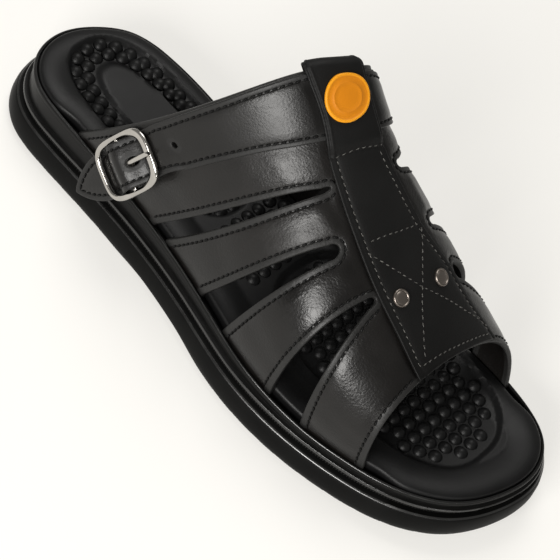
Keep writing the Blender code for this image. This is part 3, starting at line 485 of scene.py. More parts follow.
# Columns: how far the side stands in, then its height. The first two rows are the knurled channel.
midsole_rows = (
    (CHANNEL_INSET, raised(MID_BOTTOM)),
    (CHANNEL_INSET, raised(channel_top)),
    (RIB_INSET + 0.00025, raised(channel_top + 0.00012)),
    (RIB_INSET, raised(channel_top + 0.0004)),
    (RIB_INSET, raised(RIB_TOP - 0.0004)),
    (RIB_INSET + 0.0003, raised(RIB_TOP)),
    (WALL_INSET - 0.0004, raised(RIB_TOP + 0.0002)),
    (WALL_INSET, raised(RIB_TOP + 0.0005)),
    (WALL_INSET, under_rim(LIP_HEIGHT + 0.0001)),
    (LIP_INSET + 0.0002, under_rim(LIP_HEIGHT - 0.0002)),
    (LIP_INSET, under_rim(LIP_HEIGHT - 0.0006)),
    (LIP_INSET, under_rim(0.0008)),
    (LIP_INSET + 0.0002, under_rim(0.0003)),
    (LIP_INSET + 0.0006, under_rim(0.0)),
    (LIP_INSET + LIP_WIDTH - 0.0004, under_rim(0.0)),
    (LIP_INSET + LIP_WIDTH, under_rim(0.0004)),
    (LIP_INSET + LIP_WIDTH, under_rim(BED_DEPTH)),
)
bm = bmesh.new()
foot, well = stack_rings(bm, [sole_ring(inset, height) for inset, height in midsole_rows])
channel = {face for vert in foot for face in vert.link_faces}
polished = set(rows_of(bm, (3, 4, 12)))
side_run = bm.loops.layers.uv.new("side_run")
run = bm.verts.layers.int["run"]
walked = np.concatenate([[0.0], np.cumsum(np.linalg.norm(np.roll(SOLE_EDGE, -1, axis=0) - SOLE_EDGE, axis=1))])
for face in bm.faces:
    steps = [loop.vert[run] for loop in face.loops]
    wraps = max(steps) - min(steps) > 1
    for loop, step in zip(face.loops, steps):
        loop[side_run].uv = (walked[RUN_POINTS if wraps and step == 0 else step], loop.vert.co.z)
    face.material_index = 1 if face in channel else 2 if face in polished else 0
close_ring(bm, foot)
close_ring(bm, well)
bmesh.ops.recalc_face_normals(bm, faces=bm.faces[:])
midsole = stand_up("foam_midsole", bm)

pressed_foam, foam_tree, foam_shader = plain_material("pressed_foam", (0.02, 0.02, 0.02), 0.4, specular=0.13)
handle(
    foam_tree,
    foam_shader,
    {"Cloud Scale": 60.0, "Speck Scale": 1800.0, "Rough Low": 0.30, "Rough High": 0.42},
    (0.0028, 0.0028, 0.0027),
    (0.0050, 0.0049, 0.0047),
    0.00004,
)
knurled_foam, knurl_tree, knurl_shader = plain_material("knurled_foam", (0.008, 0.008, 0.008), 0.5, specular=0.2)
knurl_run = new_node(knurl_tree, "ShaderNodeUVMap", uv_map="side_run")
knurl_wave = new_node(
    knurl_tree,
    "ShaderNodeTexWave",
    {"Scale": math.pi / (10.0 * KNURL_PITCH), "Distortion": 1.2, "Detail": 2.0},
    bands_direction="X",
)
knurl_grain = new_node(knurl_tree, "ShaderNodeTexNoise", {"Scale": 1600.0, "Detail": 2.0})
knurl_relief = new_node(knurl_tree, "ShaderNodeBump", {"Strength": 1.0, "Distance": 0.0004})
knurl_mix = new_node(knurl_tree, "ShaderNodeMath", operation="ADD")
knurl_tree.links.new(knurl_run.outputs["UV"], knurl_wave.inputs["Vector"])
knurl_tree.links.new(knurl_run.outputs["UV"], knurl_grain.inputs["Vector"])
knurl_tree.links.new(knurl_wave.outputs["Fac"], knurl_mix.inputs[0])
knurl_tree.links.new(knurl_grain.outputs["Fac"], knurl_mix.inputs[1])
knurl_tree.links.new(knurl_mix.outputs["Value"], knurl_relief.inputs["Height"])
knurl_tree.links.new(knurl_relief.outputs["Normal"], knurl_shader.inputs["Normal"])
# Painted shade and highlight: the knurl's colour follows the same waves as its relief, dark in the grooves and light on
# the ridges.
knurl_painted_shade = ramp_between(knurl_tree, knurl_wave.outputs["Fac"], (0.0015, 0.0015, 0.0015), (0.016, 0.0155, 0.015), 0.3, 0.9)
knurl_tree.links.new(knurl_painted_shade, knurl_shader.inputs["Base Color"])
midsole.data.materials.append(pressed_foam)
midsole.data.materials.append(knurled_foam)
midsole.data.materials.append(polished_edge)
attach(midsole, "root")
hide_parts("midsole")

# Footbed: soft moulded sheet with a rolled border, a sunken horseshoe round a smooth pad under the heel, and a
# sunken field under the ball. It steps in where the legs of the upper come down beside it.
ROLL_RISE = 0.0024
ROLL_WIDTH = 0.015
FIELD_DEPTH = 0.0018
FIELD_WALL = 0.0016
FIELD_POWER = 2.6
LEATHER = 0.0024
LEG_RANGE = {1: (0.161, 0.829), -1: (0.3025, 0.875)}
LEG_BLEND = 0.050
# Columns: centre along and half length as shares of the sole's length, centre across and half width as shares
# of half the ball width.
FIELDS = {
    "heel": (0.228, 0.179, -0.043, 0.438),
    "pad": (0.228, 0.135, -0.059, 0.240),
    "fore": (0.717, 0.200, -0.074, 0.610),
}


def distance_to(points, loop):
    """Distance of each point to a closed line."""
    nearest = np.full(len(points), np.inf)
    for a, b in zip(loop, np.roll(loop, -1, axis=0)):
        edge = b - a
        t = np.clip((points - a) @ edge / max(edge @ edge, 1e-18), 0.0, 1.0)
        nearest = np.minimum(nearest, np.linalg.norm(a + t[:, None] * edge - points, axis=1))
    return nearest


def inset_line(line, inset, inwards=1.0):
    """A closed line moved sideways, less the places that would fold over."""
    ahead = np.roll(line, -1, axis=0) - np.roll(line, 1, axis=0)
    ahead /= np.linalg.norm(ahead, axis=1)[:, None]
    turned = inwards if np.cross(line, np.roll(line, -1, axis=0)).sum() > 0 else -inwards
    moved = line + turned * inset * np.column_stack([-ahead[:, 1], ahead[:, 0]])
    return moved[distance_to(moved, line) > inset - 0.06]


def ruled_sheet(outline, holes, insets, step, hole_insets=()):
    """Flat sheet in millimetres: its cut edges, rings inset from them, and rulings a step apart both ways."""
    bm = bmesh.new()
    depth = bm.verts.layers.float.new("edge_distance")

    def closed_edges(line):
        verts = [bm.verts.new((x, y, 0.0)) for x, y in line]
        return [bm.edges.new(pair) for pair in zip(verts, verts[1:] + verts[:1])]

    core = []
    for line, side, rings in [(outline, 1.0, insets)] + [(hole, -1.0, hole_insets) for hole in holes]:
        reached = closed_edges(line)
        for inset in rings:
            ring = closed_edges(inset_line(line, inset, side))
            bmesh.ops.triangle_fill(bm, use_beauty=True, use_dissolve=False, edges=reached + ring)
            reached = ring
        core += reached
    bmesh.ops.triangle_fill(bm, use_beauty=True, use_dissolve=False, edges=core)
    rule_across(bm, outline.min(axis=0), outline.max(axis=0), step)
    places = np.array([vert.co[:2] for vert in bm.verts])
    nearest = np.min([distance_to(places, line) for line in (outline, *holes)], axis=0)
    for vert, distance in zip(bm.verts, nearest):
        vert[depth] = distance
    bmesh.ops.recalc_face_normals(bm, faces=bm.faces[:])
    bm.faces.ensure_lookup_table()
    if bm.faces[0].normal.z < 0:
        bmesh.ops.reverse_faces(bm, faces=bm.faces[:])
    return bm


def rule_across(bm, low, high, step):
    for axis in (0, 1):
        across = Vector((1.0 - axis, float(axis), 0.0))
        for at in np.arange(low[axis] + step / 2, high[axis], step):
            whole = bm.verts[:] + bm.edges[:] + bm.faces[:]
            bmesh.ops.bisect_plane(bm, geom=whole, dist=1e-4, plane_co=across * at, plane_no=across)


def field_line(name, shrink, count):
    along, half_length, across, half_width = FIELDS[name]
    turn = np.linspace(0.0, 2 * math.pi, count, endpoint=False)
    x = np.sign(np.cos(turn)) * np.abs(np.cos(turn)) ** (2 / FIELD_POWER)
    y = np.sign(np.sin(turn)) * np.abs(np.sin(turn)) ** (2 / FIELD_POWER)
    a = half_width * half_ball - shrink
    b = half_length * SOLE_LENGTH - shrink
    return np.column_stack([across * half_ball + a * x, along * SOLE_LENGTH + b * y])


def in_field(name, plan, margin=0.0):
    """0 outside a field, rising softly to 1 over its wall."""
    along, half_length, across, half_width = FIELDS[name]
    a = half_width * half_ball - margin
    b = half_length * SOLE_LENGTH - margin
    x = np.abs(plan[:, 0] - across * half_ball) / a
    y = np.abs(plan[:, 1] - along * SOLE_LENGTH) / b
    reach = (x**FIELD_POWER + y**FIELD_POWER) ** (1 / FIELD_POWER)
    return smoothstep((1 - reach) * a / FIELD_WALL, 0.0, 1.0)


leg_room = np.zeros(RUN_POINTS)
legs_line = SOLE_EDGE + EDGE_INWARD * UPPER_INSET
for side, (start, end) in LEG_RANGE.items():
    y = legs_line[:, 1] / SOLE_LENGTH
    window = smoothstep(y, start - LEG_BLEND, start) - smoothstep(y, end, end + LEG_BLEND)
    leg_room = np.where(side * legs_line[:, 0] > 0, window, leg_room)
bed_edge = SOLE_EDGE + EDGE_INWARD * (UPPER_INSET + leg_room * (LEATHER + GAP))[:, None]


def bed_top(plan, distance):
    """Height of the footbed: it rises from its edge over the rolled border and sinks in the fields."""
    t = np.clip(distance / ROLL_WIDTH, 0.0, 1.0)
    low = 0.3 * ROLL_RISE
    roll = low + (ROLL_RISE - low) * np.sin(math.pi * t**0.75) ** 0.8
    corner = 0.0011
    drop = corner - np.sqrt(np.maximum(corner**2 - (corner - np.minimum(distance, corner)) ** 2, 0.0))
    sunk = np.maximum(in_field("heel", plan) - in_field("pad", plan), in_field("fore", plan))
    return rim(plan[:, 1]) + roll - drop - FIELD_DEPTH * sunk


bm = ruled_sheet(bed_edge * 1000.0, (), (0.12, 0.35, 0.7, 1.1, 1.9, 3.0, 4.5), 1.3)
plan = np.array([vert.co[:2] for vert in bm.verts]) / 1000.0
heights = bed_top(plan, distance_to(plan, bed_edge))
for vert, (x, y), z in zip(bm.verts, plan, heights):
    vert.co = (x, y, z)
open_edges = [edge for edge in bm.edges if edge.is_boundary]
grown = bmesh.ops.extrude_edge_only(bm, edges=open_edges)["geom"]
for vert in (item for item in grown if isinstance(item, bmesh.types.BMVert)):
    vert.co.z = float(rim(vert.co.y)) - BED_DEPTH + GAP
open_edges = [edge for edge in bm.edges if edge.is_boundary]
bmesh.ops.triangle_fill(bm, use_beauty=True, use_dissolve=False, edges=open_edges)
bmesh.ops.recalc_face_normals(bm, faces=bm.faces[:])
footbed = stand_up("moulded_footbed", bm)

bed_rubber, bed_tree, bed_shader = plain_material("footbed_rubber", (0.02, 0.02, 0.02), 0.5, specular=0.20)
handle(
    bed_tree,
    bed_shader,
    {"Cloud Scale": 40.0, "Speck Scale": 2200.0, "Rough Low": 0.38, "Rough High": 0.48},
    (0.0030, 0.0030, 0.0031),
    (0.0052, 0.0052, 0.0054),
    0.00005,
)
footbed.data.materials.append(bed_rubber)
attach(footbed, "root")
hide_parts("footbed")

# Massage nubs: solid domes moulded with the footbed, two staggered rows round the heel pad and staggered rows
# over the field under the ball.
HEEL_NUB = (0.0029, 0.0025)
FORE_NUB = (0.0027, 0.0023)
NUB_FLARE = 0.25
HEEL_ROWS = (("heel", 0.0041, 0.0071, 0.0), ("pad", -0.0034, 0.0067, 0.5))
FORE_PITCH = 0.0070


def even_places(line, pitch, start):
    """Places at an even pitch along a closed line."""
    ring = np.vstack([line, line[:1]])
    walked = np.concatenate([[0.0], np.cumsum(np.linalg.norm(np.diff(ring, axis=0), axis=1))])
    count = round(walked[-1] / pitch)
    marks = (np.arange(count) + start) * walked[-1] / count
    return np.column_stack([np.interp(marks, walked, ring[:, axis]) for axis in (0, 1)])


def nub_pattern(size):
    """Pattern of one nub: the upper part of a ball, flared a little at its foot."""
    radius, height = size
    bm = bmesh.new()
    bmesh.ops.create_uvsphere(bm, u_segments=12, v_segments=8, radius=1.0)
    whole = bm.verts[:] + bm.edges[:] + bm.faces[:]
    bmesh.ops.bisect_plane(bm, geom=whole, plane_co=(0, 0, -0.05), plane_no=(0, 0, 1), clear_inner=True)
    bmesh.ops.holes_fill(bm, edges=[edge for edge in bm.edges if edge.is_boundary])
    for vert in bm.verts:
        flare = 1.0 + NUB_FLARE * (1.0 - max(vert.co.z, 0.0)) ** 3
        vert.co.x *= flare
        vert.co.y *= flare
    bmesh.ops.scale(bm, vec=(radius, radius, height), verts=bm.verts[:])
    return bm


bm = bmesh.new()
heel_places = [even_places(field_line(name, shrink, 240), pitch, start) for name, shrink, pitch, start in HEEL_ROWS]
along, half_length, across, half_width = FIELDS["fore"]
rows = []
for row, y in enumerate(np.arange(along * SOLE_LENGTH - 0.056, along * SOLE_LENGTH + 0.058, FORE_PITCH * 0.84)):
    xs = np.arange(-7, 8) * FORE_PITCH + (row % 2) * FORE_PITCH / 2 + across * half_ball
    rows.append(np.column_stack([xs, np.full(len(xs), y)]))
rows = np.vstack(rows)
fore_places = rows[in_field("fore", rows, 0.0031) > 0.98]
middle = []
for row, y in enumerate(np.arange(0.420 * SOLE_LENGTH, 0.512 * SOLE_LENGTH, FORE_PITCH * 0.84)):
    xs = np.arange(-3, 4) * FORE_PITCH + (row % 2) * FORE_PITCH / 2 - 0.06 * half_ball
    middle.append(np.column_stack([xs, np.full(len(xs), y)]))
fore_places = np.vstack([fore_places, *middle])
for size, places in ((HEEL_NUB, np.vstack(heel_places)), (FORE_NUB, fore_places)):
    pattern = nub_pattern(size)
    nub_mesh = bpy.data.meshes.new("nub_pattern")
    pattern.to_mesh(nub_mesh)
    pattern.free()
    floors = bed_top(places, distance_to(places, bed_edge))
    for (x, y), z in zip(places, floors):
        before = len(bm.verts)
        bm.from_mesh(nub_mesh)
        bm.verts.ensure_lookup_table()
        bmesh.ops.translate(bm, vec=(x, y, z - 0.0001), verts=bm.verts[before:])
    bpy.data.meshes.remove(nub_mesh)
nubs = stand_up("footbed_nubs", bm, 80.0)
nubs.data.materials.append(bed_rubber)
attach(nubs, "root")

# Upper: one shell of glossy black leather, die-cut to a pattern with three slots a side, its cut edges painted
# and turned, stitched along every edge, then drawn over the last and let down into the sole.
INSTEP_HEIGHT = 0.1268
VAMP_HEIGHT = 0.061
CREST_SAG = 0.0024
OUTER_BULGE = 0.0084
INNER_BULGE = 0.0095
PATTERN_U = 0.110
PATTERN_V = 0.150
TUCK = BED_DEPTH - GAP
SEAM_INSET = 3.0
CUT_ROUNDING = 0.7
SEAM_DEPTH = 0.00028
PUFF = 0.00035
# Each pair is the value at the rear edge and at the front edge.
LAST = {
    "outer_feather": (0.171, 0.815),
    "inner_feather": (0.3125, 0.861),
    "crest_along": (0.4165, 0.795),
    "crest_across": (-0.076, 0.022),
    "outer_rise": (0.63, 0.74),
    "outer_reach": (0.59, 0.68),
    "inner_rise": (0.77, 0.67),
    "inner_reach": (1.26, 0.48),
    "tilt": (0.0, -0.14),
    "sweep": (0.52, 0.10),
}
# Columns: side, u of the tip, then v of the rear edge at the tip, halfway and at the feather, and of the front edge.
SLOT_MIDDLE = 0.6
SLOTS = (
    (1, 0.240, (0.352, 0.295, 0.278), (0.364, 0.335, 0.322)),
    (1, 0.300, (0.510, 0.470, 0.474), (0.550, 0.531, 0.564)),
    (1, 0.232, (0.702, 0.692, 0.742), (0.722, 0.778, 0.832)),
    (-1, 0.185, (0.326, 0.274, 0.278), (0.346, 0.346, 0.330)),
    (-1, 0.260, (0.534, 0.520, 0.500), (0.554, 0.588, 0.580)),
    (-1, 0.290, (0.698, 0.734, 0.786), (0.750, 0.826, 0.865)),
)
# Columns: u, then v of the buckle strap's rear and front edges.
BUCKLE_STRAP = (
    (-0.95, 0.034, 0.182),
    (-0.60, 0.034, 0.190),
    (-0.34, 0.030, 0.200),
    (-0.12, 0.014, 0.212),
    (0.10, 0.006, 0.218),
    (0.30, 0.006, 0.202),
    (0.46, 0.006, 0.178),
    (0.68, 0.008, 0.156),
    (0.82, 0.016, 0.155),
    (1.00, 0.020, 0.158),
)
# Columns: v, then u of the vamp strap's inner and outer edges.
VAMP_STRAP = (
    (0.00, -0.140, 0.146),
    (0.14, -0.128, 0.158),
    (0.28, -0.110, 0.202),
    (0.42, -0.124, 0.219),
    (0.56, -0.150, 0.221),
    (0.70, -0.232, 0.224),
    (0.85, -0.305, 0.234),
    (1.00, -0.440, 0.272),
)
# Soft troughs and ridges where the bands bend. Columns: u and v of one end, u and v of the other, height in
# millimetres, width in millimetres.
CREASES = (
    (0.86, 0.190, 0.86, 0.262, -0.35, 5.0),
    (0.80, 0.350, 0.84, 0.440, -0.45, 6.0),
    (0.84, 0.590, 0.86, 0.710, -0.50, 6.5),
    (0.80, 0.850, 0.84, 0.985, -0.40, 7.0),
    (0.34, 0.400, 0.30, 0.470, 0.30, 4.0),
    (0.27, 0.385, 0.25, 0.460, -0.30, 3.0),
    (0.33, 0.610, 0.28, 0.690, 0.30, 4.5),
    (0.27, 0.590, 0.26, 0.660, -0.30, 3.0),
    (0.32, 0.800, 0.28, 0.900, 0.25, 5.0),
    (0.42, 0.205, 0.40, 0.290, 0.25, 5.0),
    (-0.84, 0.360, -0.84, 0.480, -0.45, 6.0),
    (-0.84, 0.610, -0.84, 0.760, -0.45, 6.0),
    (-0.24, 0.400, -0.26, 0.500, 0.30, 4.0),
)


def from_table(rows, at, column):
    """Smooth reading of a table at a value of its first column."""
    keys = np.array([row[0] for row in rows])
    values = np.array([row[column] for row in rows])
    slopes = np.gradient(values, keys)
    at = np.clip(np.asarray(at, float), keys[0], keys[-1])
    i = np.clip(np.searchsorted(keys, at) - 1, 0, len(keys) - 2)
    step = keys[i + 1] - keys[i]
    t = (at - keys[i]) / step
    return (
        values[i] * (1 + 2 * t) * (1 - t) ** 2
        + slopes[i] * step * t * (1 - t) ** 2
        + values[i + 1] * t * t * (3 - 2 * t)
        + slopes[i + 1] * step * t * t * (t - 1)
    )


feather_lines = {}
for side in (1, -1):
    near = legs_line[(side * legs_line[:, 0] > 0.4 * half_heel) & (legs_line[:, 1] > 0.05 * SOLE_LENGTH)]
    feather_lines[side] = near[np.argsort(near[:, 1])]


def half_section(u, v, side):
    """Outside of the upper on one side: a cubic from the feather up to the crest."""
    name = "outer" if side > 0 else "inner"
    bulge = OUTER_BULGE if side > 0 else -INNER_BULGE
    value = {key: rear + (front - rear) * v for key, (rear, front) in LAST.items()}
    t = 1.0 - np.minimum(np.abs(u), 1.0)
    foot_y = value[name + "_feather"] * SOLE_LENGTH
    foot_x = np.interp(foot_y, feather_lines[side][:, 1], feather_lines[side][:, 0])
    foot_z = rim(foot_y)
    top_y = value["crest_along"] * SOLE_LENGTH
    top_x = value["crest_across"] * half_ball
    top_z = INSTEP_HEIGHT + (VAMP_HEIGHT - INSTEP_HEIGHT) * v - 4 * CREST_SAG * v * (1 - v)
    rise = value[name + "_rise"]
    reach = value[name + "_reach"] * (foot_x - top_x)
    corners = (
        (foot_x, foot_y, foot_z),
        (foot_x + bulge, foot_y + rise * (top_y - foot_y), foot_z + rise * (top_z - foot_z)),
        (top_x + reach, top_y - value["sweep"] * reach, top_z - value["tilt"] * reach),
        (top_x, top_y, top_z),
    )
    blend = ((1 - t) ** 3, 3 * (1 - t) ** 2 * t, 3 * (1 - t) * t * t, t**3)
    point = [sum(b * corner[axis] for b, corner in zip(blend, corners)) for axis in range(3)]
    point[2] = point[2] - np.maximum(np.abs(u) - 1.0, 0.0) * PATTERN_U
    return np.stack(np.broadcast_arrays(*point), axis=-1)


def last(u, v):
    """A point of the last: u from -1 at the inner feather to 1 at the outer one, v from the rear edge to the front."""
    u, v = np.broadcast_arrays(np.asarray(u, float), np.asarray(v, float))
    return np.where((u >= 0)[..., None], half_section(u, v, 1), half_section(u, v, -1))


def last_axes(u, v):
    """Unit directions on the last: along u, along v and outwards."""
    u, v = np.broadcast_arrays(np.asarray(u, float), np.asarray(v, float))
    step = 0.008
    along_u = last(u + step, v) - last(u - step, v)
    along_v = last(u, v + step) - last(u, v - step)
    return tuple(d / np.linalg.norm(d, axis=-1, keepdims=True) for d in (along_u, along_v, np.cross(along_u, along_v)))


def over_last(u, v, height):
    return last(u, v) + last_axes(u, v)[2] * np.asarray(height)[..., None]


def slot_line(ends, u):
    """Parabola through v at the tip, the middle and the feather of a slot."""
    tip, at_tip, at_middle, at_feather = ends
    m = SLOT_MIDDLE
    a = (u - m) * (u - 1) / ((tip - m) * (tip - 1))
    b = (u - tip) * (u - 1) / ((m - tip) * (m - 1))
    c = (u - tip) * (u - m) / ((1 - tip) * (1 - m))
    return a * at_tip + b * at_middle + c * at_feather


def slot_cut(slot, end):
    """One slot as (u, v) points, in along its rear edge, round its tip and out along its front edge."""
    side, tip, rear, front = slot
    straight = np.array([end, *np.linspace(1.0, tip + 0.045, 46)])
    clipped = np.minimum(straight, 1.0)
    rear_v = slot_line((tip, *rear), clipped)
    front_v = slot_line((tip, *front), clipped)
    middle = (rear_v[-1] + front_v[-1]) / 2
    half = (front_v[-1] - rear_v[-1]) / 2
    turn = np.linspace(-math.pi / 2, math.pi / 2, 17)[1:-1]
    points = list(zip(straight, rear_v))
    points += [(straight[-1] - (straight[-1] - tip) * math.cos(a), middle + half * math.sin(a)) for a in turn]
    points += list(zip(straight[::-1], front_v[::-1]))
    return [(side * u, v) for u, v in points]


def resampled(line, step, closed=True):
    """A line with points close to a step apart, its own corners kept."""
    ends = np.roll(line, -1, axis=0) if closed else line[1:]
    out = []
    for a, b in zip(line, ends):
        parts = max(1, math.ceil(np.linalg.norm(b - a) / step))
        out += [a + (b - a) * k / parts for k in range(parts)]
    return np.array(out if closed else [*out, line[-1]])


def rounded_edge(distance, rounding):
    """Fall of a surface towards its cut edge, in millimetres."""
    near = np.minimum(distance, rounding)
    return np.sqrt(np.maximum(rounding**2 - (rounding - near) ** 2, 0.0)) - rounding


def mould(name, bm, place, top, thickness):
    """Give a flat sheet its thickness and carry it to its place: place(x, y, height) takes millimetres on the sheet."""
    depth = bm.verts.layers.float["edge_distance"]
    cut = bm.loops.layers.uv.new("cut")
    for face in bm.faces:
        for loop in face.loops:
            loop[cut].uv = (loop.vert.co.x / 1000.0, loop.vert.co.y / 1000.0)
    bmesh.ops.solidify(bm, geom=bm.faces[:], thickness=1.0)
    flat = np.array([(*vert.co, vert[depth]) for vert in bm.verts])
    x, y, distance = flat[:, 0], flat[:, 1], flat[:, 3]
    upper_side = flat[:, 2] > -0.5
    height = np.where(upper_side, top(x, y, distance), -rounded_edge(distance, 0.3) / 1000.0)
    height = np.where(upper_side, thickness + height, height)
    for vert, point in zip(bm.verts, place(x, y, height)):
        vert.co = point
    bmesh.ops.triangulate(bm, faces=[face for face in bm.faces if len(face.verts) > 4])
    bmesh.ops.recalc_face_normals(bm, faces=bm.faces[:])
    return stand_up(name, bm, 50.0)


def crease_relief(u, v):
    x, y = u * PATTERN_U * 1000, v * PATTERN_V * 1000
    relief = np.zeros(np.shape(x))
    for u0, v0, u1, v1, height, width in CREASES:
        a = np.array([u0 * PATTERN_U, v0 * PATTERN_V]) * 1000
        b = np.array([u1 * PATTERN_U, v1 * PATTERN_V]) * 1000
        length = np.linalg.norm(b - a)
        ahead = (b - a) / length
        along = ((x - a[0]) * ahead[0] + (y - a[1]) * ahead[1]) / length
        across = (x - a[0]) * ahead[1] - (y - a[1]) * ahead[0]
        outside = np.maximum(np.abs(along - 0.5) - 0.5, 0.0) * length
        relief += height * np.exp(-((across / width) ** 2) - (outside / width) ** 2)
    return relief / 1000.0


def under_straps(u, v):
    """1 where a strap lies on the upper, falling to 0 a little way outside it."""
    front = from_table(BUCKLE_STRAP, u, 2)
    rear = from_table(BUCKLE_STRAP, u, 1)
    buckle = (1.0 - smoothstep(v, front, front + 0.03)) * smoothstep(v, rear - 0.03, rear - 0.01)
    inner, outer = from_table(VAMP_STRAP, v, 1), from_table(VAMP_STRAP, v, 2)
    vamp = smoothstep(u, inner - 0.04, inner) * (1.0 - smoothstep(u, outer, outer + 0.04))
    return np.maximum(buckle, vamp)


def upper_top(x, y, distance):
    u, v = x / PATTERN_U / 1000, y / PATTERN_V / 1000
    groove = SEAM_DEPTH * np.exp(-(((distance - SEAM_INSET) / 0.5) ** 2))
    swell = PUFF * smoothstep(distance, SEAM_INSET, SEAM_INSET + 4.5)
    free = 1.0 - under_straps(u, v)
    settle = smoothstep(1.0 - np.abs(u), 0.0, 0.06)
    return rounded_edge(distance, CUT_ROUNDING) / 1000.0 + free * settle * (swell - groove + crease_relief(u, v))


def on_upper(x, y, height):
    return over_last(x / PATTERN_U / 1000, y / PATTERN_V / 1000, height - LEATHER)


sheet_end = 1.14
cut_line = [(u, 0.0) for u in np.linspace(-sheet_end, sheet_end, 120)]
for slot in (s for s in SLOTS if s[0] > 0):
    cut_line += slot_cut(slot, sheet_end)
cut_line += [(u, 1.0) for u in np.linspace(sheet_end, -sheet_end, 120)]
for slot in [s for s in SLOTS if s[0] < 0][::-1]:
    cut_line += slot_cut(slot, sheet_end)[::-1]
UPPER_CUT = resampled(np.array(cut_line) * (PATTERN_U * 1000, PATTERN_V * 1000), 2.6)
LEATHER_INSETS = (0.12, 0.4, 0.8, 2.3, 2.7, 3.0, 3.3, 3.8, 5.2, 7.2)
bm = ruled_sheet(UPPER_CUT, (), LEATHER_INSETS, 2.6)
for side in (1.0, -1.0):
    for share, clear in ((1.0, False), (1.0 + TUCK / PATTERN_U, True)):
        whole = bm.verts[:] + bm.edges[:] + bm.faces[:]
        spot = (side * share * PATTERN_U * 1000, 0.0, 0.0)
        bmesh.ops.bisect_plane(bm, geom=whole, dist=1e-4, plane_co=spot, plane_no=(side, 0.0, 0.0), clear_outer=clear)
upper = mould("leather_upper", bm, on_upper, upper_top, LEATHER)

# Black grain leather: fine pebbles and hair lines pressed in the hide, a glossy finish, and a duller, greyer
# border between each row of stitches and the cut edge.
hide = bpy.data.node_groups.new("grained_hide", "ShaderNodeTree")
entry, leave = group_sockets(
    hide,
    {"Pebble Scale": 1100.0, "Crease Scale": 160.0, "Pebbles": 0.6, "Creases": 0.5},
    {"Height": "NodeSocketFloat", "Cloud": "NodeSocketFloat"},
)
place_in = new_node(hide, "ShaderNodeTexCoord")
pebbles = new_node(hide, "ShaderNodeTexVoronoi", {"Randomness": 1.0}, feature="SMOOTH_F1")
creases = new_node(hide, "ShaderNodeTexNoise", {"Detail": 5.0, "Roughness": 0.62, "Distortion": 1.4})
cloud = new_node(hide, "ShaderNodeTexNoise", {"Scale": 34.0, "Detail": 3.0})
valley = new_node(hide, "ShaderNodeMath", operation="ABSOLUTE")
centred = new_node(hide, "ShaderNodeMath", operation="SUBTRACT")
centred.inputs[1].default_value = 0.5
pebble_part = new_node(hide, "ShaderNodeMath", operation="MULTIPLY")
crease_part = new_node(hide, "ShaderNodeMath", operation="MULTIPLY")
both = new_node(hide, "ShaderNodeMath", operation="SUBTRACT")
for texture, scale in ((pebbles, "Pebble Scale"), (creases, "Crease Scale")):
    hide.links.new(place_in.outputs["Object"], texture.inputs["Vector"])
    hide.links.new(entry.outputs[scale], texture.inputs["Scale"])
hide.links.new(place_in.outputs["Object"], cloud.inputs["Vector"])
hide.links.new(creases.outputs["Fac"], centred.inputs[0])
hide.links.new(centred.outputs["Value"], valley.inputs[0])
hide.links.new(valley.outputs["Value"], crease_part.inputs[0])
hide.links.new(entry.outputs["Creases"], crease_part.inputs[1])
hide.links.new(pebbles.outputs["Distance"], pebble_part.inputs[0])
hide.links.new(entry.outputs["Pebbles"], pebble_part.inputs[1])
hide.links.new(crease_part.outputs["Value"], both.inputs[0])
hide.links.new(pebble_part.outputs["Value"], both.inputs[1])
hide.links.new(both.outputs["Value"], leave.inputs["Height"])
hide.links.new(cloud.outputs["Fac"], leave.inputs["Cloud"])


def leather_material(name, field, border, field_rough, border_rough, relief, border_width, shine, values):
    """Leather whose field and border differ in colour and sheen, told apart by the distance from the cut edge."""
    made, tree, shader = plain_material(name, field[0], field_rough, specular=shine)
    grain = new_node(tree, "ShaderNodeGroup", node_tree=hide)
    for key, value in values.items():
        grain.inputs[key].default_value = value
    edge = new_node(tree, "ShaderNodeAttribute", attribute_name="edge_distance")
    inside = new_node(tree, "ShaderNodeMapRange", {"From Min": border_width - 0.3, "From Max": border_width + 0.2})
    colour = new_node(tree, "ShaderNodeMix", data_type="RGBA")
    sheen = new_node(tree, "ShaderNodeMapRange", {"To Min": border_rough, "To Max": field_rough})
    uneven = new_node(tree, "ShaderNodeMapRange", {"From Min": 0.3, "From Max": 0.7, "To Min": -0.09, "To Max": 0.11})
    rough = new_node(tree, "ShaderNodeMath", operation="ADD")
    bump = new_node(tree, "ShaderNodeBump", {"Strength": 1.0, "Distance": relief})
    tree.links.new(edge.outputs["Fac"], inside.inputs["Value"])
    tree.links.new(inside.outputs["Result"], colour.inputs["Factor"])
    tree.links.new(ramp_between(tree, grain.outputs["Cloud"], *border, 0.3, 0.7), colour.inputs["A"])
    tree.links.new(ramp_between(tree, grain.outputs["Cloud"], *field, 0.3, 0.7), colour.inputs["B"])
    tree.links.new(colour.outputs["Result"], shader.inputs["Base Color"])
    tree.links.new(inside.outputs["Result"], sheen.inputs["Value"])
    tree.links.new(grain.outputs["Cloud"], uneven.inputs["Value"])
    tree.links.new(sheen.outputs["Result"], rough.inputs[0])
    tree.links.new(uneven.outputs["Result"], rough.inputs[1])
    tree.links.new(rough.outputs["Value"], shader.inputs["Roughness"])
    tree.links.new(grain.outputs["Height"], bump.inputs["Height"])
    tree.links.new(bump.outputs["Normal"], shader.inputs["Normal"])
    return made


gloss_leather = leather_material(
    "gloss_leather",
    ((0.0028, 0.0025, 0.0023), (0.0062, 0.0053, 0.0047)),
    ((0.0075, 0.0073, 0.0070), (0.0115, 0.0112, 0.0107)),
    0.33,
    0.50,
    0.00016,
    2.7,
    0.33,
    {"Pebble Scale": 1150.0, "Crease Scale": 210.0, "Pebbles": 0.35, "Creases": 0.9},
)
upper.data.materials.append(gloss_leather)
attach(upper, "root")
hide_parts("upper")

# Stitches: twisted thread in a lockstitch row just inside each cut edge. Each stitch is a short bead that dips
# into the leather at both ends.
BLACK_THREAD = 0.00050
STITCH_PITCH = 0.0032


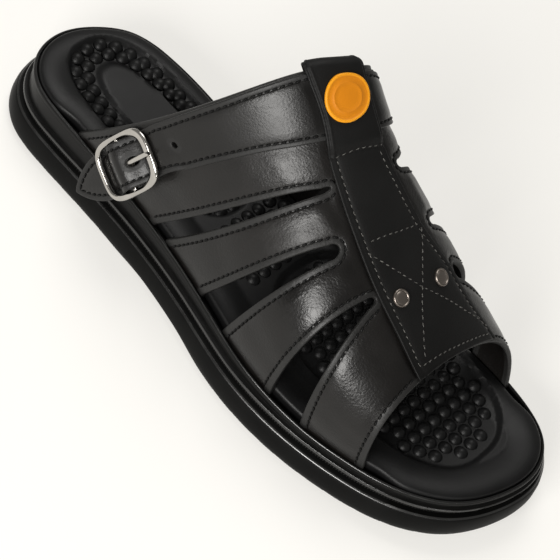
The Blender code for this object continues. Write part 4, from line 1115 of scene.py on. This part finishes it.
def sew(bm, line, place, lift, pitch, thread, keep, closed=True, length=0.80):
    """Add a row of stitches along a line on a flat sheet, where keep(x, y) is true."""
    path = np.vstack([line, line[:1]]) if closed else line
    fine = resampled(path, 0.5, closed=False)
    spots = place(fine[:, 0], fine[:, 1], lift(fine[:, 0], fine[:, 1]))
    run = np.concatenate([[0.0], np.cumsum(np.linalg.norm(np.diff(spots, axis=0), axis=1))])
    marks = np.arange(pitch / 2, run[-1] - pitch / 2, pitch)
    centre = np.column_stack([np.interp(marks, run, spots[:, axis]) for axis in range(3)])
    flat = np.column_stack([np.interp(marks, run, fine[:, axis]) for axis in (0, 1)])
    ahead = np.column_stack([np.interp(marks + pitch / 4, run, spots[:, axis]) for axis in range(3)]) - centre
    low = place(flat[:, 0], flat[:, 1], lift(flat[:, 0], flat[:, 1]) - 0.001)
    for point, forward, out, (x, y) in zip(centre, ahead, centre - low, flat):
        if not keep(x, y):
            continue
        forward, out = Vector(forward).normalized(), Vector(out).normalized()
        side = out.cross(forward).normalized()
        out = forward.cross(side)
        slanted = (forward + 0.16 * side).normalized()
        axes = (slanted * pitch * length / 2, side * thread, out * thread)
        matrix = Matrix([(*row, at) for row, at in zip(zip(*axes), point)] + [(0.0, 0.0, 0.0, 1.0)])
        bmesh.ops.create_uvsphere(bm, u_segments=6, v_segments=5, radius=1.0, matrix=matrix @ Matrix.Rotation(math.pi / 2, 4, "Y"))


def uncovered(x, y):
    u, v = x / PATTERN_U / 1000, y / PATTERN_V / 1000
    if abs(u) > 0.985:
        return False
    front, rear = float(from_table(BUCKLE_STRAP, u, 2)), float(from_table(BUCKLE_STRAP, u, 1))
    free = v > front + 0.004 or v < rear or u > 0.84
    inner, outer = float(from_table(VAMP_STRAP, v, 1)), float(from_table(VAMP_STRAP, v, 2))
    return free and not inner - 0.01 < u < outer + 0.01


def upper_seam_height(x, y):
    distance = np.full(np.shape(x), SEAM_INSET)
    return LEATHER + upper_top(x, y, distance) + 0.5 * BLACK_THREAD


def twisted_thread(name, dark, light, sheen):
    made, tree, shader = plain_material(name, dark, sheen, specular=0.15)
    where = new_node(tree, "ShaderNodeTexCoord")
    twist = new_node(tree, "ShaderNodeTexWave", {"Scale": 900.0, "Distortion": 2.0, "Detail": 2.0}, bands_direction="DIAGONAL")
    relief = new_node(tree, "ShaderNodeBump", {"Strength": 0.8, "Distance": 0.0001})
    tree.links.new(where.outputs["Object"], twist.inputs["Vector"])
    # Painted shade and highlight: the thread's colour follows the same waves as its twisted relief, dark in the grooves
    # and light on the strands.
    tree.links.new(ramp_between(tree, twist.outputs["Fac"], dark, light), shader.inputs["Base Color"])
    tree.links.new(twist.outputs["Fac"], relief.inputs["Height"])
    tree.links.new(relief.outputs["Normal"], shader.inputs["Normal"])
    return made


black_thread = twisted_thread("black_thread", (0.0010, 0.0010, 0.0010), (0.0040, 0.0040, 0.0040), 0.5)
bm = bmesh.new()
sew(bm, inset_line(UPPER_CUT, SEAM_INSET), on_upper, upper_seam_height, STITCH_PITCH, BLACK_THREAD, uncovered)
upper_stitches = stand_up("upper_stitches", bm, 80.0)
upper_stitches.data.materials.append(black_thread)
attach(upper_stitches, "root")

# Buckle strap: a glossy leather strap sewn over the rear of the upper, stitched along both edges. Beside the foot
# it leaves the upper, passes over the frame's end bars and the centre bar, and ends in a pointed tail.
STRAP_LEATHER = 0.0016
STRAP_END = -0.95
STRAP_BENDS = 0.70
STRAP_SCALE = 0.190
TAIL_WIDTH = 0.0204
TAIL_LENGTH = 0.0386
TAIL_POINT = 0.55
BUCKLE_U = 0.880
BUCKLE_V = 0.095
FRAME_LENGTH = 0.0342
FRAME_WIDTH = 0.0268
FRAME_ROD = 0.0026
BAR_ROD = 0.0022
PRONG_ROD = 0.0018
FRAME_LIFT = 0.0062
FRAME_LEAN = 0.085
FRAME_TWIST = 0.18
FRAME_TURN = 0.17
PRONG_HOLE_WIDTH = 0.0036
PRONG_HOLE_ENDS = (-0.0086, -0.0040)
STRAP_SEAM = 2.5
SMALL_HOLE = (0.718, 0.080)

down, _, outwards = last_axes(BUCKLE_U, BUCKLE_V)
across_frame = np.cross(outwards, down)
along_frame = math.cos(FRAME_LEAN) * down + math.sin(FRAME_LEAN) * outwards
frame_face = math.cos(FRAME_LEAN) * outwards - math.sin(FRAME_LEAN) * down
frame_side = math.cos(FRAME_TWIST) * across_frame + math.sin(FRAME_TWIST) * frame_face
frame_face = math.cos(FRAME_TWIST) * frame_face - math.sin(FRAME_TWIST) * across_frame
frame_ahead = math.cos(FRAME_TURN) * along_frame + math.sin(FRAME_TURN) * frame_side
frame_side = math.cos(FRAME_TURN) * frame_side - math.sin(FRAME_TURN) * along_frame
frame_centre = last(BUCKLE_U, BUCKLE_V) + outwards * FRAME_LIFT


def on_frame(along, across, height):
    """A point by its place in the plane of the buckle frame."""
    along, across, height = np.broadcast_arrays(along, across, height)
    return frame_centre + along[..., None] * frame_ahead + across[..., None] * frame_side + height[..., None] * frame_face


def strap_flat(u, v):
    """Place of a pattern point on the flat strap, in millimetres."""
    bent = np.maximum(u - STRAP_BENDS, 0.0)
    x = np.minimum(u, STRAP_BENDS) * 128.0 + bent * STRAP_SCALE * 1000
    return np.column_stack([x, v * 140.0])


def on_strap(x, y, height):
    """Carry the flat strap to its place: on the upper, then through the buckle."""
    bend_x = STRAP_BENDS * 128.0
    u = np.where(x < bend_x, x / 128.0, STRAP_BENDS + (x - bend_x) / STRAP_SCALE / 1000)
    v = y / 140.0
    rear, front = from_table(BUCKLE_STRAP, u, 1), from_table(BUCKLE_STRAP, u, 2)
    along = (u - BUCKLE_U) * STRAP_SCALE
    reach = FRAME_LENGTH / 2 - 1.8 * FRAME_ROD
    low = -FRAME_ROD / 2 - GAP - STRAP_LEATHER
    high = BAR_ROD / 2 + 2 * GAP + PRONG_ROD + GAP
    rise = low + (high - low) * np.cos(math.pi * np.clip(np.abs(along) / reach, 0.0, 1.0) / 2) ** 2
    held = smoothstep(along, -0.9 * FRAME_LENGTH, -0.47 * FRAME_LENGTH)[..., None]
    across = (2 * (v - rear) / (front - rear) - 1) * TAIL_WIDTH / 2
    lying = over_last(np.minimum(u, 1.0), v, GAP + height)
    return lying * (1 - held) + on_frame(along, across, rise + height) * held


def tail_half(along):
    taper = np.clip((along / TAIL_LENGTH - (1.0 - TAIL_POINT)) / TAIL_POINT, 0.0, 1.0)
    return (1.0 - taper**1.7) ** 0.8


def strap_edge(column):
    """One edge of the strap from its sewn end to the tip of the tail."""
    tip = BUCKLE_U + TAIL_LENGTH / STRAP_SCALE
    lying_part = np.linspace(STRAP_END, STRAP_BENDS, 120, endpoint=False)
    u = np.concatenate([lying_part, np.linspace(STRAP_BENDS, tip - 0.0008, 90)])
    rear, front = from_table(BUCKLE_STRAP, u, 1), from_table(BUCKLE_STRAP, u, 2)
    half = tail_half((u - BUCKLE_U) * STRAP_SCALE) * (front - rear) / 2
    return strap_flat(u, (rear + front) / 2 + (half if column == 2 else -half))


def hole_line(u, v, along, across, count=20):
    turn = np.linspace(0.0, 2 * math.pi, count, endpoint=False)
    centre = strap_flat(np.array([u]), np.array([v]))[0]
    return np.column_stack([centre[0] + along * np.cos(turn), centre[1] + across * np.sin(turn)])


def strap_puff(x, y, distance):
    """Rounded cut edge, a groove under the stitches and a full middle, flatter where the vamp strap crosses it."""
    inside = distance_to(np.column_stack([x, y]), STRAP_CUT)
    groove = SEAM_DEPTH * np.exp(-(((inside - STRAP_SEAM) / 0.5) ** 2))
    u, v = x / 128.0, y / 140.0
    inner, outer = from_table(VAMP_STRAP, v, 1), from_table(VAMP_STRAP, v, 2)
    covered = smoothstep(u, inner - 0.04, inner) * (1.0 - smoothstep(u, outer, outer + 0.04))
    swell = 0.0003 * smoothstep(inside, STRAP_SEAM, STRAP_SEAM + 4.0)
    return rounded_edge(distance, 0.6) / 1000.0 + (1.0 - covered) * (swell - groove)


rear_edge, front_edge = strap_edge(1), strap_edge(2)
STRAP_CUT = resampled(np.vstack([rear_edge, front_edge[::-1]]), 2.0)
strap_v = float(from_table(BUCKLE_STRAP, BUCKLE_U, 1) + from_table(BUCKLE_STRAP, BUCKLE_U, 2)) / 2
wide = float(from_table(BUCKLE_STRAP, BUCKLE_U, 2) - from_table(BUCKLE_STRAP, BUCKLE_U, 1)) * 140.0 / (TAIL_WIDTH * 1000)
prong_u = BUCKLE_U + sum(PRONG_HOLE_ENDS) / 2 / STRAP_SCALE
prong_long = (PRONG_HOLE_ENDS[1] - PRONG_HOLE_ENDS[0]) * 500
prong_hole = hole_line(prong_u, strap_v, prong_long, PRONG_HOLE_WIDTH * 500 * wide)
small_hole = hole_line(*SMALL_HOLE, 1.5, 1.15, 18)
STRAP_INSETS = (0.1, 0.3, 0.6, 1.2, 1.9, 2.2, 2.5, 2.8, 3.3, 4.5, 6.0)
bm = ruled_sheet(STRAP_CUT, (prong_hole, small_hole), STRAP_INSETS, 2.0, (0.1, 0.3, 0.6))
strap = mould("leather_buckle_strap", bm, on_strap, strap_puff, STRAP_LEATHER)
strap_gloss = leather_material(
    "strap_leather",
    ((0.0025, 0.0023, 0.0021), (0.0055, 0.0050, 0.0046)),
    ((0.0060, 0.0058, 0.0056), (0.0095, 0.0092, 0.0089)),
    0.32,
    0.46,
    0.00012,
    2.2,
    0.33,
    {"Pebble Scale": 1250.0, "Crease Scale": 240.0, "Pebbles": 0.35, "Creases": 0.8},
)
strap.data.materials.append(strap_gloss)
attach(strap, "root")
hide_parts("buckle_strap")


def strap_seam_height(x, y):
    return STRAP_LEATHER + strap_puff(x, y, np.full(np.shape(x), STRAP_SEAM)) + 0.5 * BLACK_THREAD


def clear_of_vamp_strap(x, y):
    u, v = x / 128.0, y / 140.0
    inner, outer = float(from_table(VAMP_STRAP, v, 1)), float(from_table(VAMP_STRAP, v, 2))
    return not inner - 0.005 < u < outer + 0.005


bm = bmesh.new()
seam = inset_line(STRAP_CUT, STRAP_SEAM)
sew(bm, seam, on_strap, strap_seam_height, STITCH_PITCH, BLACK_THREAD, clear_of_vamp_strap)
strap_stitches = stand_up("strap_stitches", bm, 80.0)
strap_stitches.data.materials.append(black_thread)
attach(strap_stitches, "root")

# Vamp strap: matt grey-black strap down the middle. From the rear fold to the first cross row it is doubled, the
# lower layer standing out a little past the upper one; in front of the row it is sewn down by a crossed panel.
VAMP_LEATHER = 0.0015
FOLD_LENGTH = 0.0090
STRAP_STEP = (0.012, 0.060)
VAMP_SCALE_U = 92.0
VAMP_SCALE_V = 128.0
DOUBLE_LEDGE = 1.7
CROSS_ROW = 0.268
SIDE_SEAM = 3.5


def strap_top(u, v):
    """Height under the vamp strap: it climbs over the buckle strap and lies on the upper in front of it."""
    front = from_table(BUCKLE_STRAP, u, 2)
    over = 1.0 - smoothstep(v, front + STRAP_STEP[0], front + STRAP_STEP[1])
    return GAP + over * (STRAP_LEATHER + GAP)


def on_vamp(x, y, height):
    """Carry the flat strap to its place: over the instep, then round and under the rear edge."""
    u, v = x / VAMP_SCALE_U, y / VAMP_SCALE_V
    lying = over_last(u, np.maximum(v, 0.0), strap_top(u, np.maximum(v, 0.0)) + height)
    _, along_v, out = last_axes(u, np.zeros_like(u))
    above, below = strap_top(u, np.zeros_like(u)), LEATHER + GAP
    radius = (above + below) / 2
    centre = last(u, np.zeros_like(u)) + out * ((above - below) / 2)[..., None] - along_v * GAP
    past = np.maximum(-y / 1000.0, 0.0)
    angle = np.minimum(past / radius, math.pi)
    around_edge = np.cos(angle)[..., None] * out - np.sin(angle)[..., None] * along_v
    turned = centre + around_edge * (radius + height)[..., None]
    tucked_v = np.maximum(past - math.pi * radius, 0.0) / 0.128
    tucked = over_last(u, tucked_v, -below - height)
    folded = np.where((angle < math.pi)[..., None], turned, tucked)
    return np.where((y >= 0.0)[..., None], lying, folded)


def vamp_edge(column):
    fold = (math.pi * (LEATHER + STRAP_LEATHER + 3 * GAP) / 2 + FOLD_LENGTH) * 1000
    y = np.concatenate([np.arange(-fold, 0.0, 1.6), np.linspace(0.0, 0.996 * VAMP_SCALE_V, 80)])
    return np.column_stack([from_table(VAMP_STRAP, y / VAMP_SCALE_V, column) * VAMP_SCALE_U, y])


def vamp_side_distance(x, y):
    v = np.maximum(y, 0.0) / VAMP_SCALE_V
    inner, outer = from_table(VAMP_STRAP, v, 1) * VAMP_SCALE_U, from_table(VAMP_STRAP, v, 2) * VAMP_SCALE_U
    return np.minimum(x - inner, outer - x)


def row_v(x, middle, ends):
    """A cross row of the vamp strap: v at its middle, and how much less at its ends."""
    return middle - ends * (np.abs(x / 18.0 - 0.1)) ** 2


def vamp_relief(x, y, distance):
    """Step between the two layers, the cross rows' grooves and the raised panel in front of the first row."""
    side = vamp_side_distance(x, y)
    v = y / VAMP_SCALE_V
    doubled = 1.0 - smoothstep(v, CROSS_ROW - 0.004, CROSS_ROW + 0.004)
    step = smoothstep(side, DOUBLE_LEDGE - 0.25, DOUBLE_LEDGE + 0.35)
    bead = np.exp(-(((side - DOUBLE_LEDGE - 0.9) / 0.55) ** 2))
    layered = doubled * (0.00055 * (step - 1.0) + 0.00018 * bead)
    seam = 0.00022 * np.exp(-(((side - SIDE_SEAM) / 0.5) ** 2)) * (1.0 - doubled)
    rows = sum(np.exp(-(((v - at) * VAMP_SCALE_V / 0.6) ** 2)) for at in (CROSS_ROW, 0.545))
    panel = 0.00030 * smoothstep(v, CROSS_ROW, CROSS_ROW + 0.02) * smoothstep(side, SIDE_SEAM, SIDE_SEAM + 3.0)
    return rounded_edge(distance, 0.6) / 1000.0 + layered - seam - 0.00025 * rows + panel


VAMP_CUT = resampled(np.vstack([vamp_edge(1)[::-1], vamp_edge(2)]), 2.0)
bm = ruled_sheet(VAMP_CUT, (), (0.1, 0.3, 0.6, 1.2, 1.6, 2.0, 2.5, 3.2, 3.5, 3.8, 4.6), 1.8)
vamp = mould("leather_vamp_strap", bm, on_vamp, vamp_relief, VAMP_LEATHER)
matt_leather = leather_material(
    "matt_leather",
    ((0.0034, 0.0033, 0.0032), (0.0056, 0.0055, 0.0053)),
    ((0.0030, 0.0029, 0.0028), (0.0046, 0.0045, 0.0044)),
    0.56,
    0.48,
    0.00010,
    1.6,
    0.16,
    {"Pebble Scale": 1500.0, "Crease Scale": 300.0, "Pebbles": 0.5, "Creases": 0.5},
)
vamp.data.materials.append(matt_leather)
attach(vamp, "root")
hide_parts("vamp_strap")

# Seams of the vamp strap: thin grey thread down both sides, across in two rows and in a large cross between the
# second row and the toe edge.
GREY_THREAD = 0.00028
GREY_PITCH = 0.0030
CROSS_SEAMS = (
    ((0.175, 0.272), (0.036, 0.262), (-0.103, 0.262)),
    ((0.165, 0.548), (0.019, 0.548), (-0.127, 0.542)),
    ((0.193, 0.572), (0.010, 0.746), (-0.200, 0.868), (-0.400, 0.962)),
    ((-0.130, 0.552), (0.020, 0.752), (0.110, 0.872), (0.190, 0.962)),
    ((0.215, 0.962), (0.002, 0.968), (-0.200, 0.972), (-0.385, 0.974)),
)


def vamp_seam_height(x, y):
    side = vamp_side_distance(x, y)
    return VAMP_LEATHER + vamp_relief(x, y, np.minimum(side, 5.0)) + 0.35 * GREY_THREAD


def in_front(x, y):
    return y / VAMP_SCALE_V > CROSS_ROW + 0.005


grey_thread = twisted_thread("grey_thread", (0.030, 0.029, 0.027), (0.120, 0.116, 0.108), 0.5)
bm = bmesh.new()
for column, sign in ((1, 1.0), (2, -1.0)):
    edge_line = vamp_edge(column)
    edge_line = edge_line[(edge_line[:, 1] > CROSS_ROW * VAMP_SCALE_V) & (edge_line[:, 1] < 0.972 * VAMP_SCALE_V)]
    sew(bm, edge_line + (sign * SIDE_SEAM, 0.0), on_vamp, vamp_seam_height, GREY_PITCH, GREY_THREAD, in_front, False, 0.62)
for corners in CROSS_SEAMS:
    line = np.array(corners) * (VAMP_SCALE_U, VAMP_SCALE_V)
    line = resampled(line, 1.0, closed=False)
    sew(bm, line, on_vamp, vamp_seam_height, GREY_PITCH, GREY_THREAD, lambda x, y: True, False, 0.62)
vamp_stitches = stand_up("vamp_stitches", bm, 80.0)
vamp_stitches.data.materials.append(grey_thread)
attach(vamp_stitches, "root")

# Badge: a round enamelled disc on the instep, bent with the strap under it, with a raised rim and a raised ring.
# Its printed letters are left out.
BADGE_DIAMETER = 0.0196
BADGE_THICKNESS = 0.0012
BADGE_PLACE = (0.010, 0.098)
BADGE_SQUEEZE = 0.82
# Columns: share of the radius, then the height over the strap as a share of the thickness.
BADGE_PROFILE = (
    (0.000, 0.84),
    (0.200, 0.84),
    (0.400, 0.84),
    (0.560, 0.84),
    (0.585, 0.97),
    (0.615, 0.97),
    (0.640, 0.84),
    (0.760, 0.84),
    (0.860, 0.84),
    (0.885, 1.00),
    (0.925, 1.12),
    (0.965, 1.08),
    (0.990, 0.92),
    (1.000, 0.66),
    (1.000, 0.02),
)


def around(u, v, radius, turn):
    """Places in the pattern on a circle of the last round (u, v)."""
    step = 0.01
    along_u = (last(u + step, v) - last(u - step, v)) / (2 * step)
    along_v = (last(u, v + step) - last(u, v - step)) / (2 * step)
    first = along_u / np.linalg.norm(along_u)
    second = along_v - (along_v @ first) * first
    second /= np.linalg.norm(second)
    dv = radius * np.sin(turn) / (along_v @ second)
    du = (radius * np.cos(turn) - dv * (along_v @ first)) / np.linalg.norm(along_u)
    return u + du, v + dv


def turned_profile(rows, radius, height, steps):
    """Spin a profile given as shares of a radius and a height, standing at the origin."""
    bm = bmesh.new()
    verts = [bm.verts.new((radius * reach, 0.0, height * rise)) for reach, rise in rows]
    edges = [bm.edges.new(pair) for pair in zip(verts, verts[1:])]
    bmesh.ops.spin(
        bm, geom=verts + edges, axis=(0, 0, 1), cent=(0, 0, 0), angle=2 * math.pi, steps=steps, use_merge=True
    )
    bmesh.ops.remove_doubles(bm, verts=bm.verts[:], dist=1e-6)
    bmesh.ops.holes_fill(bm, edges=[edge for edge in bm.edges if edge.is_boundary])
    bmesh.ops.recalc_face_normals(bm, faces=bm.faces[:])
    if max(bm.faces, key=lambda face: face.calc_center_median().z).normal.z < 0:
        bmesh.ops.reverse_faces(bm, faces=bm.faces[:])
    return bm


bm = turned_profile(BADGE_PROFILE, BADGE_DIAMETER / 2, BADGE_THICKNESS, 72)
radial = bm.verts.layers.float.new("radial")
badge_u, badge_v = BADGE_PLACE
badge_seat = float(strap_top(badge_u, badge_v)) + VAMP_LEATHER + GAP
for vert in bm.verts:
    reach = math.hypot(vert.co.x, vert.co.y)
    vert[radial] = reach / (BADGE_DIAMETER / 2)
    u, v = around(badge_u, badge_v, reach, math.atan2(vert.co.y, vert.co.x))
    u = badge_u + (u - badge_u) * BADGE_SQUEEZE
    vert.co = over_last(np.array(u), np.array(v), np.array(badge_seat + vert.co.z))
badge = stand_up("enamel_badge", bm, 60.0)
enamel, enamel_tree, enamel_shader = plain_material("badge_enamel", (0.55, 0.20, 0.004), 0.45, specular=0.3)
spread = new_node(enamel_tree, "ShaderNodeAttribute", attribute_name="radial")
rim_mask = new_node(enamel_tree, "ShaderNodeMapRange", {"From Min": 0.86, "From Max": 0.90})
rim_tint = new_node(enamel_tree, "ShaderNodeMix", data_type="RGBA")
enamel_cloud = new_node(enamel_tree, "ShaderNodeTexNoise", {"Scale": 900.0, "Detail": 2.0})
enamel_relief = new_node(enamel_tree, "ShaderNodeBump", {"Strength": 0.5, "Distance": 0.00004})
enamel_tree.links.new(spread.outputs["Fac"], rim_mask.inputs["Value"])
enamel_tree.links.new(rim_mask.outputs["Result"], rim_tint.inputs["Factor"])
rim_tint.inputs["A"].default_value = (0.53, 0.175, 0.002, 1.0)
rim_tint.inputs["B"].default_value = (0.69, 0.27, 0.005, 1.0)
enamel_tree.links.new(rim_tint.outputs["Result"], enamel_shader.inputs["Base Color"])
enamel_tree.links.new(enamel_cloud.outputs["Fac"], enamel_relief.inputs["Height"])
enamel_tree.links.new(enamel_relief.outputs["Normal"], enamel_shader.inputs["Normal"])
badge.data.materials.append(enamel)
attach(badge, "root")
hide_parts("badge")

# Metal: nickel plate, polished and then worn to fine scratches, on the rivets and the buckle.
nickel, nickel_tree, nickel_shader = plain_material("nickel_plate", (0.50, 0.47, 0.44), 0.2, metallic=1.0)
plate_place = new_node(nickel_tree, "ShaderNodeTexCoord")
scratch_map = new_node(nickel_tree, "ShaderNodeMapping")
scratch_map.inputs["Scale"].default_value = (60.0, 900.0, 900.0)
scratches = new_node(nickel_tree, "ShaderNodeTexNoise", {"Scale": 2.5, "Detail": 4.0})
smudges = new_node(nickel_tree, "ShaderNodeTexNoise", {"Scale": 220.0, "Detail": 3.0})
plate_rough = new_node(nickel_tree, "ShaderNodeMapRange", {"From Min": 0.3, "From Max": 0.7, "To Min": 0.08, "To Max": 0.18})
plate_relief = new_node(nickel_tree, "ShaderNodeBump", {"Strength": 0.35, "Distance": 0.00003})
nickel_tree.links.new(plate_place.outputs["Object"], scratch_map.inputs["Vector"])
nickel_tree.links.new(scratch_map.outputs["Vector"], scratches.inputs["Vector"])
nickel_tree.links.new(plate_place.outputs["Object"], smudges.inputs["Vector"])
nickel_tree.links.new(smudges.outputs["Fac"], plate_rough.inputs["Value"])
nickel_tree.links.new(plate_rough.outputs["Result"], nickel_shader.inputs["Roughness"])
nickel_tree.links.new(ramp_between(nickel_tree, smudges.outputs["Fac"], (0.38, 0.365, 0.345), (0.52, 0.50, 0.47)), nickel_shader.inputs["Base Color"])
nickel_tree.links.new(scratches.outputs["Fac"], plate_relief.inputs["Height"])
nickel_tree.links.new(plate_relief.outputs["Normal"], nickel_shader.inputs["Normal"])

# Rivets: a flat-domed cap set in a turned ring, closed through the strap where the two seams start to cross.
RIVET_DIAMETER = 0.0078
RIVET_DOME = 0.0015
RIVET_PLACES = {"rivet_outer": (0.136, 0.746), "rivet_inner": (-0.116, 0.736)}
# Columns: share of the radius, then share of the dome's height.
RIVET_PROFILE = (
    (0.000, 0.92),
    (0.250, 0.91),
    (0.500, 0.85),
    (0.640, 0.76),
    (0.700, 0.66),
    (0.735, 0.62),
    (0.775, 0.74),
    (0.840, 0.86),
    (0.905, 0.82),
    (0.960, 0.64),
    (1.000, 0.34),
    (0.990, 0.00),
)
aged_nickel, aged_tree, aged_shader = plain_material("aged_nickel", (0.20, 0.175, 0.155), 0.34, metallic=1.0)
for node, (u, v) in RIVET_PLACES.items():
    along_u, _, out = (Vector(axis) for axis in last_axes(u, v))
    seat = float(strap_top(u, v)) + VAMP_LEATHER + GAP
    bm = turned_profile(RIVET_PROFILE, RIVET_DIAMETER / 2, RIVET_DOME, 40)
    axes = Matrix((along_u, out.cross(along_u), out)).transposed().to_4x4()
    seated = Vector(last(u, v)) + out * seat
    bmesh.ops.transform(bm, matrix=Matrix.Translation(seated) @ axes, verts=bm.verts[:])
    rivet = stand_up("nickel_" + node, bm, 60.0)
    rivet.data.materials.append(aged_nickel)
    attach(rivet, "root")
    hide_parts(node)

# Buckle frame: a die-cast oval ring of soft-edged bar, flatter and wider along its end towards the instep, with
# a round bar across its middle.
FRAME_POWER = 3.9
BAR_SHAPE = 2.4


def swept_bar(bm, path, side_of, half_widths, half_heights, sides, closed):
    """Bar along a path on the frame, its section a soft-cornered rectangle: path and widths in metres."""
    path = np.array(path)
    ahead = np.roll(path, -1, axis=0) - np.roll(path, 1, axis=0) if closed else np.gradient(path, axis=0)
    ahead /= np.linalg.norm(ahead, axis=1)[:, None]
    turn = np.linspace(0.0, 2 * math.pi, sides, endpoint=False)
    section_x = np.sign(np.cos(turn)) * np.abs(np.cos(turn)) ** (2 / BAR_SHAPE)
    section_y = np.sign(np.sin(turn)) * np.abs(np.sin(turn)) ** (2 / BAR_SHAPE)
    first = loop = None
    for point, heading, half_width, half_height in zip(path, ahead, half_widths, half_heights):
        side = side_of(heading)
        up = np.cross(side, heading)
        verts = [
            bm.verts.new(point + side * half_width * x + up * half_height * y) for x, y in zip(section_x, section_y)
        ]
        edges = [bm.edges.new(pair) for pair in zip(verts, verts[1:] + verts[:1])]
        if first is None:
            first = edges
        else:
            bmesh.ops.bridge_loops(bm, edges=loop + edges)
        loop = edges
    if closed:
        bmesh.ops.bridge_loops(bm, edges=loop + first)
    else:
        for end in (first, loop):
            bmesh.ops.contextual_create(bm, geom=end)
    bmesh.ops.recalc_face_normals(bm, faces=bm.faces[:])


def beside(heading):
    side = np.cross(heading, frame_face)
    return side / np.linalg.norm(side)


turn = np.linspace(0.0, 2 * math.pi, 144, endpoint=False)
half_length, half_width = (FRAME_LENGTH - FRAME_ROD) / 2, (FRAME_WIDTH - FRAME_ROD) / 2
ring_along = half_length * np.sign(np.cos(turn)) * np.abs(np.cos(turn)) ** (2 / FRAME_POWER)
ring_across = half_width * np.sign(np.sin(turn)) * np.abs(np.sin(turn)) ** (2 / FRAME_POWER)
ring = np.column_stack([ring_along, ring_across])
loop_run = np.concatenate([[0.0], np.cumsum(np.linalg.norm(np.diff(np.vstack([ring, ring[:1]]), axis=0), axis=1))])
marks = np.linspace(0.0, loop_run[-1], 120, endpoint=False)
closed_ring = np.vstack([ring, ring[:1]])
ring = np.column_stack([np.interp(marks, loop_run, closed_ring[:, axis]) for axis in (0, 1)])
# The end of the frame up the strap is cast wider, inwards.
wide_end = smoothstep(-ring[:, 0], 0.25 * half_length, 0.95 * half_length)
ring_half = FRAME_ROD / 2 * (1.0 + 0.60 * wide_end)
inwards = -ring / np.linalg.norm(ring, axis=1)[:, None]
ring = ring + inwards * (ring_half - FRAME_ROD / 2)[:, None]
bm = bmesh.new()
swept_bar(bm, on_frame(ring[:, 0], ring[:, 1], 0.0), beside, ring_half, np.full(120, 0.0012), 16, True)
bar_across = np.linspace(half_width, -half_width, 13)
swept_bar(bm, on_frame(0.0, bar_across, 0.0), beside, np.full(13, BAR_ROD / 2), np.full(13, BAR_ROD / 2), 14, False)
buckle = stand_up("nickel_buckle_frame", bm, 50.0)
buckle.data.materials.append(nickel)
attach(buckle, "root")
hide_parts("buckle_frame")

# Prong: one bent nickel wire, its hook round the centre bar, its point on the end of the frame.
wrap = BAR_ROD / 2 + GAP + PRONG_ROD / 2
rest = 0.0012 + GAP + PRONG_ROD / 2
reach = FRAME_LENGTH / 2
hook = [(wrap * math.sin(a), wrap * math.cos(a)) for a in np.linspace(math.radians(215), 0.0, 25)]
shaft_marks = np.linspace(0.0, 1.0, 22)[1:]
shaft_corners = np.array([(0.0, wrap), (-0.35 * reach, (wrap + rest) / 2), (-0.7 * reach, rest), (-1.0 * reach, 0.85 * rest)])
shaft_along = -reach * shaft_marks
shaft_height = np.interp(-shaft_along, -shaft_corners[:, 0], shaft_corners[:, 1])
prong_path = np.array(hook + list(zip(shaft_along, shaft_height)))
slim = np.concatenate([np.ones(25), 1.0 - 0.12 * smoothstep(shaft_marks, 0.6, 1.0)])
slim[-1] *= 0.7
bm = bmesh.new()
swept_bar(
    bm,
    on_frame(prong_path[:, 0], 0.0, prong_path[:, 1]),
    lambda heading: frame_side,
    PRONG_ROD / 2 * 1.25 * slim,
    PRONG_ROD / 2 * slim,
    14,
    False,
)
prong = stand_up("nickel_prong", bm, 50.0)
prong.data.materials.append(nickel)
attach(prong, "root")
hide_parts("buckle_prong")

# Buckle tab: a short leather loop sewn to the upper under the buckle. It rolls round the centre bar and is
# slotted for the prong.
TAB_LEATHER = 0.0012
TAB_WIDTH = 0.0170
TAB_LENGTH = 0.0130
TAB_SLOT = 0.0032
tab_radius = BAR_ROD / 2 + GAP


def on_tab(x, y, height):
    """Carry the flat tab to its place: x from its lying end, then round the bar."""
    lying_length = TAB_LENGTH * 0.94
    along = TAB_LENGTH - np.minimum(x / 1000.0, lying_length)
    across = y / 1000.0
    held = smoothstep(-along, -0.6 * TAB_LENGTH, -0.08 * TAB_LENGTH)[..., None]
    v = BUCKLE_V + across / PATTERN_V
    lying = over_last(BUCKLE_U + along / STRAP_SCALE, v, GAP + height)
    raised_part = on_frame(along, across, height - tab_radius - TAB_LEATHER)
    flat_part = lying * (1 - held) + raised_part * held
    angle = np.maximum(x / 1000.0 - lying_length, 0.0) / (tab_radius + TAB_LEATHER)
    turning = on_frame(
        -(tab_radius + TAB_LEATHER - height) * np.sin(angle) + (TAB_LENGTH - lying_length) * (angle == 0.0),
        across,
        -(tab_radius + TAB_LEATHER - height) * np.cos(angle),
    )
    return np.where((angle > 0.0)[..., None], turning, flat_part)


tab_end = TAB_LENGTH * 940 + math.radians(285) * (tab_radius + TAB_LEATHER) * 1000
half = TAB_WIDTH * 500
tab_cut = resampled(np.array([(0.0, -half), (tab_end, -half), (tab_end, half), (0.0, half)]), 1.5)
slot_from, slot_to = TAB_LENGTH * 1000 - 1.2 * 3.5, tab_end - 0.8
slot_half = TAB_SLOT * 500
slot_cut_line = resampled(
    np.array([(slot_from, -slot_half), (slot_to, -slot_half), (slot_to, slot_half), (slot_from, slot_half)]), 1.5
)
bm = ruled_sheet(tab_cut, (slot_cut_line,), (0.1, 0.3, 0.5), 1.0, (0.1, 0.3, 0.5))
tab = mould("leather_buckle_tab", bm, on_tab, lambda x, y, d: rounded_edge(d, 0.4) / 1000.0, TAB_LEATHER)
tab.data.materials.append(strap_gloss)
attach(tab, "root")
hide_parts("buckle_tab")

bpy.context.view_layer.update()
